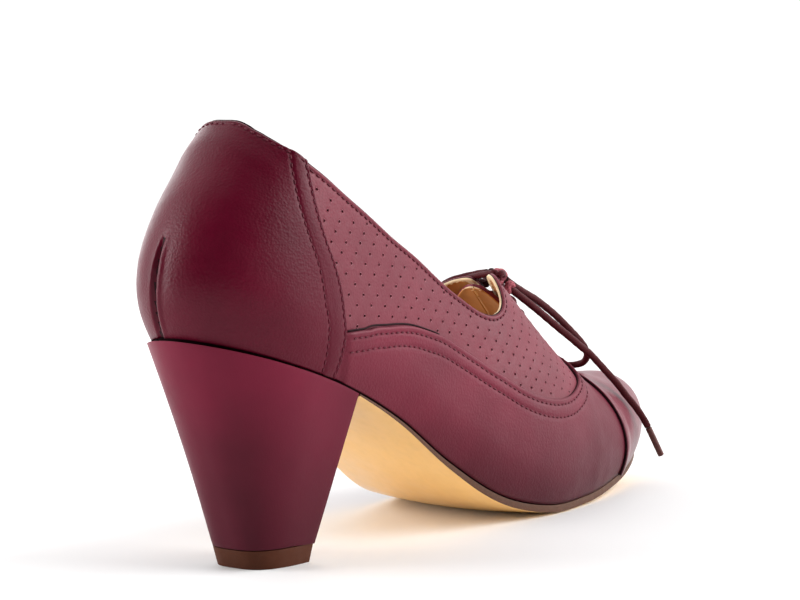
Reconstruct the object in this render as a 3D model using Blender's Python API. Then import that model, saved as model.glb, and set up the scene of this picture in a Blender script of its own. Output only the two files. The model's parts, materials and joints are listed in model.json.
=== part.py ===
"""Women's lace-up shoe on a tapered block heel, right foot, standing empty on its sole.

Every leather piece is a layer of one last, the foot form that a shoe is pulled over. The last is a
function of two numbers: `at`, 0 at the heel back and 1 at the toe tip, and `phi`, 0 at the feather
edge (where upper meets sole) and 1 on the ridge of the instep. A piece is a patch of that surface
between two depths: below zero is inside the last's skin, above zero is outside it.

Sizes are in millimetres, +X to the toe, -Y the lateral (outer) side, +Z up, and become metres when
a mesh is made.
"""
import math

import bmesh
import bpy
import numpy as np
from mathutils import Vector

MM = 0.001
COLLECTION = "lace_up_shoe"
LATERAL, MEDIAL = -1, 1
SIDES = (LATERAL, MEDIAL)

# Driving sizes
LENGTH = 233.5          # last length, about EU 37
GAP = 0.3               # clearance where two pieces meet
LAYER_GAP = 0.40        # clearance under a facetted overlay
WALL = 1.8              # upper with its lining
OVERLAY = 0.9           # vamp laid over the upper
STIFF_OVERLAY = 1.2     # counter and toe cap, which stand proud of the vamp
OVERLAY_FOOT = 0.018    # phi where the overlays start, clear of the sole
TONGUE_DROP = 0.6       # tongue below the inside of the upper
TONGUE_SAG = 2.0        # further drop towards the middle of the tongue
TONGUE_SAG_PHI = 0.72   # where that drop starts
TONGUE_THICK = 1.8
INSOLE_THICK = 1.7
SOLE_EDGE = 2.6         # outsole thickness at its edge
WAIST_EDGE = 0.9        # the same at the heel's breast
SOLE_BULGE = 1.8        # extra thickness along the middle of the forepart
SOLE_LIP = 1.5          # outsole outside the feather edge
HEEL_LIP = 3.4          # heel outside the feather edge at the centre back
BREAST_AT = 0.215       # front face of the heel
HEEL_HOLLOW = 1.2       # concave sweep of the heel's back
LIFT_HEIGHT = 5.6
TIP_BACK, TIP_FRONT, TIP_HALF = 15.4, 35.0, 12.2   # heel tip on the floor
TIP_SWING = -2.6        # heel tip's middle, towards the lateral side
TIP_SQUARE = 0.65       # below 1 squares the tip's rounded corners
LACE_RADIUS = 1.25
BAR_RADIUS = 1.15
AGLET_RADIUS = 1.1
KNOT_RADII = (3.3, 3.1, 2.9)

# The last's own shape
BELLY_PHI = 0.22        # phi at the widest point of a section
HEEL_NOSE, TOE_NOSE = 0.135, 0.30     # share of the length that rounds in plan
NOSE_POWER = 2.1
TOE_SETBACK, TOE_TUCK = 21.5, 3.0     # toe box top behind the tip, tip behind its bulge
SHEAR_POWER = 4         # how fast the end profiles fade along the length
BACK_HEIGHT = (0.0, 11.5, 23.5, 37.0, 48.5, 60.0)   # above the seat, at the centre back
BACK_FORWARD = (-3.5, -7.5, -6.5, 1.0, 10.5, 19.0)
BACK_LEAN = 0.35        # forward lean above the last height
POLE_SHARE = 0.06       # phi kept clear of the point where the ridge meets the toe profile

SECTION_COLUMNS = ("at", "seat", "lateral", "medial", "ridge", "belly", "tuck", "square", "swing")
SECTIONS = (
    (0.0, 68.4, 26.5, 27.0, 165.0, 19.5, 4.0, 2.20, 0.0),
    (0.1, 60.0, 26.0, 26.5, 161.0, 19.5, 4.0, 2.20, 0.0),
    (0.2, 51.0, 26.0, 26.5, 151.0, 19.5, 4.0, 2.10, 0.0),
    (0.3, 39.0, 26.0, 26.5, 136.0, 19.5, 4.0, 2.00, 0.0),
    (0.4, 23.0, 27.0, 28.5, 118.0, 17.5, 4.0, 1.90, 0.0),
    (0.5, 9.6, 29.5, 33.0, 98.5, 15.5, 4.0, 1.85, -0.5),
    (0.6, 3.7, 31.0, 37.5, 78.7, 13.5, 3.5, 1.85, -1.0),
    (0.7, 3.4, 30.0, 38.5, 59.3, 12.5, 3.0, 1.90, 0.0),
    (0.8, 5.0, 28.5, 37.0, 42.6, 11.5, 3.0, 2.00, 2.0),
    (0.9, 8.0, 26.5, 33.0, 38.2, 10.5, 3.0, 2.10, 3.0),
    (1.0, 14.0, 24.5, 28.5, 36.8, 8.5, 2.5, 2.20, 3.0),
)

# Upper edge of the upper, from centre back along the topline, round the tab, down the facing to the
# throat and along the ridge to the toe: where the edge is, and the `at` of the foot of that column.
EDGE_COLUMNS = ("at", "phi", "foot")
UPPER_EDGE = (
    (0.000, 0.481, 0.000), (0.005, 0.470, 0.005), (0.016, 0.457, 0.016), (0.032, 0.445, 0.032),
    (0.055, 0.434, 0.055), (0.090, 0.418, 0.090), (0.148, 0.406, 0.148), (0.210, 0.405, 0.210),
    (0.270, 0.409, 0.270), (0.334, 0.431, 0.330), (0.380, 0.451, 0.375), (0.420, 0.470, 0.412),
    (0.456, 0.491, 0.445), (0.483, 0.516, 0.468), (0.505, 0.544, 0.487), (0.525, 0.582, 0.505),
    (0.540, 0.626, 0.522), (0.551, 0.675, 0.538), (0.563, 0.748, 0.556), (0.575, 0.812, 0.574),
    (0.588, 0.864, 0.590), (0.604, 0.895, 0.606), (0.624, 0.912, 0.624), (0.646, 0.924, 0.645),
    (0.668, 0.936, 0.666), (0.686, 0.952, 0.684), (0.694, 0.976, 0.699), (0.697, 1.000, 0.712),
    (0.711, 1.000, 0.725), (0.727, 1.000, 0.738), (0.746, 1.000, 0.754), (0.766, 1.000, 0.770),
    (0.786, 1.000, 0.789), (0.806, 1.000, 0.808), (0.828, 1.000, 0.829), (0.852, 1.000, 0.852),
    (0.895, 1.000, 0.895), (0.935, 1.000, 0.935),
    (0.968, 1.000, 0.968), (0.990, 1.000, 0.990), (1.000, 1.000, 1.000),
)
# The medial side's edge is higher at the back, runs lower along the topline, and its tab sits further
# forward and closer to the ridge.
MEDIAL_EASE_COLUMNS = ("at", "forward", "lower")
MEDIAL_EASE = (
    (0.000, 0.000, 0.000), (0.005, 0.000, -0.010), (0.016, 0.000, -0.015), (0.032, 0.000, -0.013),
    (0.055, 0.000, -0.007), (0.090, 0.000, 0.000), (0.300, 0.000, 0.000), (0.334, 0.0005, 0.009),
    (0.380, 0.001, 0.018), (0.420, 0.002, 0.026), (0.456, 0.007, 0.035), (0.483, 0.010, 0.039),
    (0.505, 0.013, 0.040), (0.525, 0.0165, 0.037), (0.540, 0.019, 0.032), (0.563, 0.0215, 0.023),
    (0.575, 0.0195, 0.007), (0.588, 0.0135, -0.008), (0.604, 0.0035, -0.040), (0.624, -0.004, -0.060),
    (0.646, -0.006, -0.054), (0.668, -0.004, -0.039), (0.686, -0.002, -0.023), (0.697, 0.000, 0.000),
)
UPPER_ROWS = (0.0, 0.07, 0.15, 0.24, 0.34, 0.45, 0.56, 0.67, 0.78, 0.89, 1.0)

# Folded top edge of the vamp, from the counter round the front of the quarter's lobe
VAMP_EDGE = (
    (0.187, 0.178, 0.176), (0.223, 0.220, 0.213), (0.260, 0.246, 0.253), (0.296, 0.275, 0.292),
    (0.334, 0.305, 0.332), (0.372, 0.335, 0.371), (0.414, 0.355, 0.412), (0.452, 0.369, 0.451),
    (0.492, 0.381, 0.491), (0.535, 0.387, 0.533), (0.579, 0.399, 0.575), (0.623, 0.421, 0.615),
    (0.664, 0.458, 0.652), (0.700, 0.520, 0.686), (0.723, 0.585, 0.710), (0.733, 0.650, 0.726),
    (0.739, 0.715, 0.742), (0.743, 0.785, 0.756), (0.746, 0.860, 0.769), (0.748, 0.930, 0.781),
    (0.749, 1.000, 0.793), (0.768, 1.000, 0.814), (0.784, 1.000, 0.832),
)
VAMP_ROWS = tuple(np.linspace(0.0, 1.0, 11))
CAP_SEAM_FOOT, CAP_SEAM_RIDGE = 0.834, 0.786    # toe cap seam, straight over the last
CAP_COLUMNS, CAP_ROWS = 14, 13

# Front edge of the counter, from the sole up to the topline
COUNTER_EDGE_COLUMNS = ("at", "phi")
COUNTER_EDGE = (
    (0.169, 0.018), (0.178, 0.085), (0.182, 0.160), (0.178, 0.218), (0.167, 0.257), (0.150, 0.287),
    (0.130, 0.313), (0.107, 0.348), (0.086, 0.389), (0.072, 0.427),
)
COUNTER_COLUMNS, COUNTER_ROWS = 12, 13

# Side edge of the tongue, from its rounded top to its root under the vamp
TONGUE_EDGE_COLUMNS = ("at", "phi")
TONGUE_EDGE = (
    (0.612, 0.945), (0.616, 0.885), (0.624, 0.825), (0.638, 0.770), (0.656, 0.735), (0.682, 0.712),
    (0.715, 0.710), (0.750, 0.730),
)
TONGUE_TOP = 0.611
TONGUE_ROWS = (0.0, 0.2, 0.4, 0.6, 0.8, 1.0)

# Lace: bars over the lacing gap, then the bow lying down over the vamp
BAR_PHI = 0.86          # eyelets, where the bars end
# Lateral at, phi of the lateral facing's edge, medial at, phi of the medial facing's edge
BARS = ((0.598, 0.890, 0.614, 0.940), (0.646, 0.935, 0.646, 0.965), (0.670, 0.945, 0.670, 0.965),
        (0.693, 0.958, 0.693, 0.970))
KNOT_CENTRE = (146.3, -4.5, 76.6)
LATERAL_LOOP = (
    (150.3, -4.7, 75.6), (155.5, -5.0, 72.8), (160.9, -5.3, 70.3), (166.4, -5.4, 68.0),
    (171.9, -5.4, 65.3), (177.4, -5.3, 62.4), (182.8, -5.1, 59.3), (188.2, -4.8, 56.0),
    (193.9, -4.2, 52.7), (199.8, -3.4, 48.9), (204.6, -1.6, 45.2), (207.2, 1.6, 42.2),
    (206.8, 5.2, 41.0), (203.4, 7.8, 41.0), (198.8, 9.2, 41.8), (193.5, 9.6, 43.4),
    (186.5, 9.2, 46.4), (179.5, 8.2, 50.4), (172.4, 6.6, 55.8), (166.0, 4.6, 62.2),
    (160.6, 2.6, 68.2), (156.2, 0.9, 72.4), (152.6, -0.6, 74.8), (149.3, -1.8, 74.5),
)
LATERAL_END = (
    (148.1, -6.9, 73.6), (152.4, -8.2, 70.6), (157.3, -9.1, 67.5), (162.4, -9.8, 64.3),
    (167.5, -10.5, 61.0), (172.7, -11.1, 57.7), (177.9, -11.9, 54.4), (183.0, -12.7, 51.0),
    (188.2, -13.5, 47.7), (192.8, -14.3, 43.9), (197.2, -15.2, 40.0), (200.8, -16.6, 36.2),
    (203.4, -18.4, 32.2), (206.1, -20.2, 28.4), (208.4, -21.9, 24.5), (210.0, -23.4, 20.6),
)
LATERAL_AGLET = ((210.2, -23.6, 20.0), (214.0, -26.4, 10.2))
MEDIAL_LOOP = (
    (144.9, -1.0, 78.0), (145.5, 2.2, 77.6), (145.5, 6.2, 76.8), (144.6, 10.2, 75.8),
    (143.4, 14.0, 74.4), (142.0, 18.2, 71.2), (140.9, 22.8, 67.6), (140.6, 27.4, 62.8),
    (140.8, 32.0, 56.6), (142.4, 36.2, 49.6), (146.2, 39.2, 43.4), (151.8, 40.0, 40.4),
    (156.6, 37.6, 42.6), (158.4, 33.0, 48.4), (157.4, 27.8, 55.0), (154.6, 22.4, 61.8),
    (151.6, 17.0, 68.0), (149.3, 11.8, 72.4), (147.9, 6.8, 74.4), (147.2, 2.8, 74.6),
    (146.2, -0.2, 74.0),
)
MEDIAL_END = (
    (148.2, -0.6, 78.1), (150.4, 1.6, 77.6), (153.0, 4.6, 75.8), (156.0, 8.8, 72.4),
    (158.8, 13.6, 67.6), (161.6, 18.8, 61.8), (164.2, 24.2, 55.0), (166.6, 29.2, 47.8),
    (168.8, 33.8, 41.0), (171.0, 37.8, 34.6), (172.8, 40.8, 28.2), (174.2, 42.6, 22.0),
)
MEDIAL_AGLET = ((174.4, 42.8, 21.4), (176.2, 43.6, 9.6))


def clear_scene():
    """Remove every object that the file starts with."""
    for obj in list(bpy.data.objects):
        bpy.data.objects.remove(obj, do_unlink=True)


def table(rows, names):
    """Give a table's columns as arrays by name."""
    return {name: np.array(values, float) for name, values in zip(names, zip(*rows))}


SECTION = table(SECTIONS, SECTION_COLUMNS)


def smooth(xs, ys, x):
    """Cubic interpolation through the points (xs, ys), held at the ends."""
    xs, ys, x = (np.asarray(v, float) for v in (xs, ys, x))
    span = np.diff(xs)
    rise = np.diff(ys) / span
    slope = np.empty_like(ys)
    slope[1:-1] = (rise[:-1] * span[1:] + rise[1:] * span[:-1]) / (span[1:] + span[:-1])
    slope[0] = 1.5 * rise[0] - 0.5 * slope[1]
    slope[-1] = 1.5 * rise[-1] - 0.5 * slope[-2]
    i = np.clip(np.searchsorted(xs, x) - 1, 0, len(xs) - 2)
    t = np.clip((x - xs[i]) / span[i], 0.0, 1.0)
    start, end = slope[i] * span[i], slope[i + 1] * span[i]
    step = ys[i + 1] - ys[i]
    return ys[i] + t * (start + t * (3 * step - 2 * start - end + t * (start + end - 2 * step)))


def section(name, at):
    """One column of the section table, anywhere along the last."""
    return smooth(SECTION["at"], SECTION[name], at)


def nose(share):
    """Width left at a share of the way into a rounded end: 0 at the tip, 1 where it has ended."""
    return (1 - (1 - np.clip(share, 0, 1)) ** NOSE_POWER) ** (1 / NOSE_POWER)


def last_point(at, phi, side):
    """Point on the last's skin, in millimetres."""
    at, phi = np.broadcast_arrays(np.asarray(at, float), np.asarray(phi, float))
    half = section("lateral" if side == LATERAL else "medial", at)
    seat, ridge, belly = section("seat", at), section("ridge", at), section("belly", at)
    power = 2.0 / section("square", at)
    low = phi < BELLY_PHI
    climb = np.clip(phi / BELLY_PHI, 0, 1)
    turn = np.clip((phi - BELLY_PHI) / (1 - BELLY_PHI), 0, 1) * math.pi / 2
    sine, cosine = np.sin(turn), np.clip(np.cos(turn), 0, 1)
    across = np.where(low, 1 - section("tuck", at) / half * (1 - climb) ** 2, cosine ** power)
    z = np.where(low, seat + belly * climb, seat + belly + (ridge - seat - belly) * sine ** power)
    y = side * half * across * nose(at / HEEL_NOSE) * nose((1 - at) / TOE_NOSE)

    back_power, toe_power = 2.0 / SECTION["square"][0], 2.0 / SECTION["square"][-1]
    back_rise = SECTION["ridge"][0] - SECTION["seat"][0] - SECTION["belly"][0]
    height = SECTION["belly"][0] * climb + np.where(low, 0, back_rise * sine ** back_power)
    back = smooth(BACK_HEIGHT, BACK_FORWARD, height)
    back = back + BACK_LEAN * np.clip(height - BACK_HEIGHT[-1], 0, None)
    toe = np.where(low, -TOE_TUCK * (1 - climb) ** 2, -TOE_SETBACK * (1 - cosine ** toe_power))
    x = at * LENGTH + back * (1 - at) ** SHEAR_POWER + toe * at ** SHEAR_POWER
    return np.stack([x, y + section("swing", at), z], axis=-1)


def last_normal(at, phi, side):
    """Outward unit normal of the last's skin."""
    at, phi = np.broadcast_arrays(np.asarray(at, float), np.asarray(phi, float))
    step = 0.002
    phi_below_pole = np.minimum(phi, 1 - POLE_SHARE * np.clip((at - 0.9) / 0.1, 0, 1))
    shared = on_centre(at, phi)
    phi = phi_below_pole
    s = np.arccos(np.clip(1 - 2 * at, -1, 1)) / math.pi
    s_low, s_high = np.clip(s - step, 0, 1), np.clip(s + step, 0, 1)
    p_low, p_high = np.clip(phi - step, 0, 1), np.clip(phi + step, 0, 1)
    along = (last_point((1 - np.cos(math.pi * s_high)) / 2, phi, side)
             - last_point((1 - np.cos(math.pi * s_low)) / 2, phi, side))
    upward = last_point(at, p_high, side) - last_point(at, p_low, side)
    normal = -side * np.cross(along, upward)
    normal[..., 1] = np.where(shared, 0.0, normal[..., 1])
    return normal / np.linalg.norm(normal, axis=-1, keepdims=True)


def on_centre(at, phi):
    """True where a point lies on the line that the two sides share."""
    return (at < 1e-6) | (at > 1 - 1e-6) | (phi > 1 - 1e-6)


def skin(at, phi, side, depth):
    """Point at a depth outside (above zero) or inside the last's skin."""
    return last_point(at, phi, side) + last_normal(at, phi, side) * np.asarray(depth)[..., None]


def material(name, colour, roughness, metallic=0.0):
    """Principled material of one colour."""
    mat = bpy.data.materials.new(name)
    mat.use_nodes = True
    shader = mat.node_tree.nodes["Principled BSDF"]
    shader.inputs["Base Color"].default_value = (*colour, 1.0)
    shader.inputs["Roughness"].default_value = roughness
    shader.inputs["Metallic"].default_value = metallic
    mat.diffuse_color = (*colour, 1.0)
    return mat


def add_object(name, mesh, mat):
    """Put a mesh in the shoe's collection as one named piece."""
    mesh.materials.append(mat)
    obj = bpy.data.objects.new(name, mesh)
    bpy.data.collections[COLLECTION].objects.link(obj)
    return obj


def finish_mesh(name, bm):
    """Turn a bmesh's faces outward, scale it to metres and give its mesh."""
    bmesh.ops.recalc_face_normals(bm, faces=bm.faces)
    bmesh.ops.scale(bm, vec=(MM, MM, MM), verts=bm.verts)
    mesh = bpy.data.meshes.new(name)
    bm.to_mesh(mesh)
    bm.free()
    return mesh


def grid_faces(bm, grid):
    """Quads over a grid of vertices, leaving out what has shrunk to nothing."""
    for row, following in zip(grid, grid[1:]):
        for a, b, c, d in zip(row, row[1:], following[1:], following):
            corners = list(dict.fromkeys((a, b, c, d)))
            if len(corners) > 2 and not bm.faces.get(corners):
                bm.faces.new(corners)


def shell(name, patches, inner, outer, mat):
    """Closed solid between two depths over one or more patches (at, phi, side) of the last."""
    bm = bmesh.new()
    for depth in (outer, inner):
        seen = {}
        for at, phi, side in patches:
            points = skin(at, phi, side, depth)
            shared = on_centre(at, phi)
            grid = []
            for i, j in np.ndindex(at.shape):
                key = (round(at[i, j], 6), round(phi[i, j], 6), 0 if shared[i, j] else side)
                if key not in seen:
                    seen[key] = bm.verts.new(points[i, j])
                grid.append(seen[key])
            grid_faces(bm, [grid[k:k + at.shape[1]] for k in range(0, len(grid), at.shape[1])])
    rims = [edge for edge in bm.edges if edge.is_boundary]
    half = len(bm.verts) // 2
    bm.verts.index_update()
    bm.verts.ensure_lookup_table()
    for edge in rims:
        a, b = edge.verts
        if a.index < half:
            bm.faces.new((a, b, bm.verts[b.index + half], bm.verts[a.index + half]))
    return add_object(name, finish_mesh(name, bm), mat)


def edge_patches(rows, shares, foot_phi=0.0):
    """Patches on both sides between the feather edge and an edge table's line."""
    edge = table(rows, EDGE_COLUMNS)
    share = np.array(shares)[None, :]
    at = edge["foot"][:, None] * (1 - share) + edge["at"][:, None] * share
    phi = foot_phi * (1 - share) + edge["phi"][:, None] * share
    return [(at, phi, side) for side in SIDES]


def medial_ease(at, name):
    """How far the medial side's edge is moved forward or down there."""
    ease = table(MEDIAL_EASE, MEDIAL_EASE_COLUMNS)
    return np.interp(at, ease["at"], ease[name])


def topline_phi(at, side):
    """Topline of one side over the heel."""
    topline = table(UPPER_EDGE, EDGE_COLUMNS)
    lower = medial_ease(at, "lower") if side == MEDIAL else 0.0
    return smooth(topline["at"][:9], topline["phi"][:9], at) - lower


def build_upper(mat):
    """Hollow upper: quarters with their tabs and facings, and the toe they run into."""
    forward, lower = (medial_ease(table(UPPER_EDGE, EDGE_COLUMNS)["at"], name)[:, None] * np.array(UPPER_ROWS)
                      for name in ("forward", "lower"))
    lateral, (at, phi, side) = edge_patches(UPPER_EDGE, UPPER_ROWS)
    return shell("upper", [lateral, (at + forward, phi - lower, side)], -WALL, 0.0, mat)


def build_vamp(mat):
    """Vamp and side foxing, laid over the quarters from the counter to the toe cap."""
    patches = edge_patches(VAMP_EDGE, VAMP_ROWS, OVERLAY_FOOT)
    return shell("vamp", patches, LAYER_GAP, LAYER_GAP + OVERLAY, mat)


def build_toe_cap(mat):
    """Toe cap over the front of the vamp."""
    phi = np.linspace(OVERLAY_FOOT, 1.0, CAP_ROWS)[None, :]
    back = (1 - np.linspace(0, 1, CAP_COLUMNS)[:, None]) ** 2
    seam = CAP_SEAM_FOOT + (CAP_SEAM_RIDGE - CAP_SEAM_FOOT) * phi
    at, phi = np.broadcast_arrays(1 - (1 - seam) * back, phi)
    return shell("toe_cap", [(at, phi, side) for side in SIDES], LAYER_GAP, LAYER_GAP + STIFF_OVERLAY, mat)


def build_counter(mat):
    """Counter round the heel, from the sole to the topline."""
    edge = table(COUNTER_EDGE, COUNTER_EDGE_COLUMNS)
    knots = np.linspace(0, 1, len(COUNTER_EDGE))
    rise = np.linspace(0, 1, COUNTER_ROWS)[None, :]
    edge = {name: smooth(knots, values, rise[0]) for name, values in edge.items()}
    across = np.linspace(0, 1, COUNTER_COLUMNS)[:, None]
    at = edge["at"][None, :] * across ** 2
    patches = []
    for side in SIDES:
        front_share = edge["phi"] / topline_phi(edge["at"], side)
        back_share = OVERLAY_FOOT / topline_phi(0.0, side) * (1 - rise) + rise
        share = back_share * (1 - across) + np.minimum(front_share, 1.0)[None, :] * across
        patches.append((at, share * topline_phi(at, side), side))
    return shell("counter", patches, LAYER_GAP, LAYER_GAP + STIFF_OVERLAY, mat)


def build_tongue(mat):
    """Tongue under the facings, with a rounded top."""
    edge = table(TONGUE_EDGE, TONGUE_EDGE_COLUMNS)
    share = np.array(TONGUE_ROWS)[None, :]
    middle = np.linspace(TONGUE_TOP, TONGUE_EDGE[-1][0], len(TONGUE_EDGE))[:, None]
    at = edge["at"][:, None] * (1 - share) + middle * share
    phi = edge["phi"][:, None] * (1 - share) + share
    rise = np.clip((phi - TONGUE_SAG_PHI) / (1 - TONGUE_SAG_PHI), 0, 1)
    outer = -WALL - TONGUE_DROP - TONGUE_SAG * rise ** 2 * (3 - 2 * rise)
    patches = [(at, phi, side) for side in SIDES]
    return shell("tongue", patches, outer - TONGUE_THICK, outer, mat)


def plan_outline(at, lip):
    """Feather edge of both sides moved out by a lip, as (station, side, xyz)."""
    rows = []
    for side in SIDES:
        push = last_normal(at, 0.0, side) * (1, 1, 0)
        push /= np.linalg.norm(push, axis=-1, keepdims=True)
        rows.append(last_point(at, 0.0, side) + push * np.asarray(lip)[..., None])
    return np.stack(rows, axis=1)


def block(name, levels, mat):
    """Closed solid through stacked grids of points (station, across, xyz), lowest first."""
    bm = bmesh.new()
    seen = {}
    grids = []
    for level in levels:
        for point in level.reshape(-1, 3):
            seen.setdefault(tuple(point.round(4)), None)
        for key in [key for key, vert in seen.items() if vert is None]:
            seen[key] = bm.verts.new(key)
        grids.append([[seen[tuple(point.round(4))] for point in row] for row in level])
    grid_faces(bm, grids[0])
    grid_faces(bm, grids[-1])
    for low, high in zip(grids, grids[1:]):
        grid_faces(bm, [low[0], high[0]])
        grid_faces(bm, [low[-1], high[-1]])
        grid_faces(bm, [[row[0] for row in low], [row[0] for row in high]])
        grid_faces(bm, [[row[-1] for row in low], [row[-1] for row in high]])
    return add_object(name, finish_mesh(name, bm), mat)


def stations(first, last, count):
    """Stations along the last, closer together towards the toe tip."""
    turn = np.linspace(0, 1, count)
    return first + (last - first) * np.sin(turn * math.pi / 2)


def build_outsole(mat):
    """Outsole from the heel's breast to the toe, flat on the floor under the ball."""
    at = stations(BREAST_AT + 0.002, 1.0, 30)
    outline = plan_outline(at, SOLE_LIP)
    share = np.linspace(0, 1, 9)[None, :, None]
    top = outline[:, :1] * (1 - share) + outline[:, 1:] * share
    top[..., 2] = section("seat", at)[:, None] - GAP
    bottom = top.copy()
    bulge = SOLE_BULGE * (1 - (2 * share[..., 0] - 1) ** 2)
    fore = np.clip((at[:, None] - BREAST_AT) / 0.2, 0, 1) * np.clip((1 - at[:, None]) / 0.2, 0, 1)
    edge = np.interp(at, (BREAST_AT, 0.45), (WAIST_EDGE, SOLE_EDGE))[:, None]
    middle = (SOLE_EDGE - edge) * (1 - (2 * share[..., 0] - 1) ** 4)
    bottom[..., 2] = np.maximum(top[..., 2] + GAP - edge - middle - bulge * fore, 0.0)
    return block("outsole", [bottom, top], mat)


def build_insole(mat):
    """Insole lying inside the upper on the outsole and heel."""
    turn = np.linspace(0, math.pi, 34)
    at = (1 - np.cos(turn)) / 2
    outline = plan_outline(at, -WALL - GAP - 0.1)
    share = np.linspace(0, 1, 5)[None, :, None]
    bottom = outline[:, :1] * (1 - share) + outline[:, 1:] * share
    bottom[..., 2] = section("seat", at)[:, None] + GAP
    top = bottom.copy()
    top[..., 2] += INSOLE_THICK
    return block("insole", [bottom, top], mat)


def tip_outline(turn):
    """D-shaped outline of the heel tip on the floor, as (station, side, xyz)."""
    cosine = np.clip(np.cos(turn), 0, 1)
    x = TIP_FRONT - (TIP_FRONT - TIP_BACK) * cosine ** TIP_SQUARE
    half = TIP_HALF * np.sin(turn) ** TIP_SQUARE
    return np.stack([np.stack([x, TIP_SWING + side * half, 0 * x], -1) for side in SIDES], 1)


def heel_level(height_share):
    """Outline of the heel at a share of its height, where 0 is the floor and 1 the seat."""
    turn = np.linspace(0, math.pi / 2, 15)
    at = BREAST_AT * (1 - np.cos(turn))
    seat = plan_outline(at, HEEL_LIP + (SOLE_LIP - HEEL_LIP) * at / BREAST_AT)
    seat[..., 2] = section("seat", at)[:, None] - GAP
    tip = tip_outline(turn)
    level = tip + (seat - tip) * height_share
    hollow = HEEL_HOLLOW * math.sin(math.pi * height_share) * np.cos(turn)
    level[..., 0] += hollow[:, None]
    return level


def flat_level(height):
    """Heel outline cut level at a height above the floor."""
    level = heel_level(height / (SECTION["seat"][0] - GAP))
    level[..., 2] = height
    return level


def build_heel(mat):
    """Tapered block heel, from the top lift to the seat."""
    low = flat_level(LIFT_HEIGHT + GAP)
    start = (LIFT_HEIGHT + GAP) / (SECTION["seat"][0] - GAP)
    shares = start + (1 - start) * np.linspace(0, 1, 8)[1:]
    return block("heel", [low] + [heel_level(share) for share in shares], mat)


def build_top_lift(mat):
    """Rubber lift that the heel stands on."""
    return block("top_lift", [flat_level(0.0), flat_level(LIFT_HEIGHT)], mat)


def tube(name, points, radius, mat, ring=1):
    """Closed round tube along a route of points, in millimetres."""
    curve = bpy.data.curves.new(name, "CURVE")
    curve.dimensions = "3D"
    curve.bevel_depth = radius * MM
    curve.bevel_resolution = ring
    curve.use_fill_caps = True
    spline = curve.splines.new("POLY")
    spline.points.add(len(points) - 1)
    for spot, point in zip(spline.points, points):
        spot.co = (*(Vector(point) * MM), 1.0)
    guide = bpy.data.objects.new(name, curve)
    bpy.context.scene.collection.objects.link(guide)
    depsgraph = bpy.context.evaluated_depsgraph_get()
    mesh = bpy.data.meshes.new_from_object(guide.evaluated_get(depsgraph))
    bpy.data.objects.remove(guide, do_unlink=True)
    mesh.name = name
    bm = bmesh.new()
    bm.from_mesh(mesh)
    bmesh.ops.remove_doubles(bm, verts=bm.verts, dist=1e-7)
    bmesh.ops.recalc_face_normals(bm, faces=bm.faces)
    bm.to_mesh(mesh)
    bm.free()
    mesh.materials.clear()
    return add_object(name, mesh, mat)


def build_lace_bars(mat):
    """Bars of the lace over the lacing gap, joined along the lateral eyelets into one solid."""
    depth = GAP + BAR_RADIUS
    spine_at = np.linspace(BARS[0][0], BARS[-1][0], 7)
    spine = tube("lace_bars", skin(spine_at, BAR_PHI, LATERAL, depth), BAR_RADIUS, mat)
    for at, edge_phi, medial_at, medial_phi in BARS:
        route = [skin(at, phi, LATERAL, depth) for phi in (BAR_PHI, edge_phi)]
        route += [skin(medial_at, phi, MEDIAL, depth) for phi in (medial_phi, (BAR_PHI + medial_phi) / 2, BAR_PHI)]
        bar = tube("lace_bar", route, BAR_RADIUS, mat)
        join = spine.modifiers.new("join", "BOOLEAN")
        join.operation = "UNION"
        join.solver = "EXACT"
        join.object = bar
        depsgraph = bpy.context.evaluated_depsgraph_get()
        joined = bpy.data.meshes.new_from_object(spine.evaluated_get(depsgraph))
        spine.modifiers.clear()
        spine.data = joined
        bpy.data.objects.remove(bar, do_unlink=True)
    return spine


def build_knot(mat):
    """Knot of the bow, resting over the lacing gap."""
    bm = bmesh.new()
    bmesh.ops.create_uvsphere(bm, u_segments=12, v_segments=8, radius=1.0)
    bmesh.ops.scale(bm, vec=KNOT_RADII, verts=bm.verts)
    bmesh.ops.translate(bm, vec=KNOT_CENTRE, verts=bm.verts)
    return add_object("lace_knot", finish_mesh("lace_knot", bm), mat)


def centre_on_floor(objects, cords):
    """Shift all pieces so that the middle of the shoe's own box on the floor is the origin."""
    points = np.array([v.co for obj in objects for v in obj.data.vertices])
    low, high = points.min(axis=0), points.max(axis=0)
    shift = Vector((-(low[0] + high[0]) / 2, -(low[1] + high[1]) / 2, -low[2]))
    for obj in objects + cords:
        for vertex in obj.data.vertices:
            vertex.co += shift
    print("origin shift, mm:", [round(value / MM, 3) for value in shift])


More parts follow.
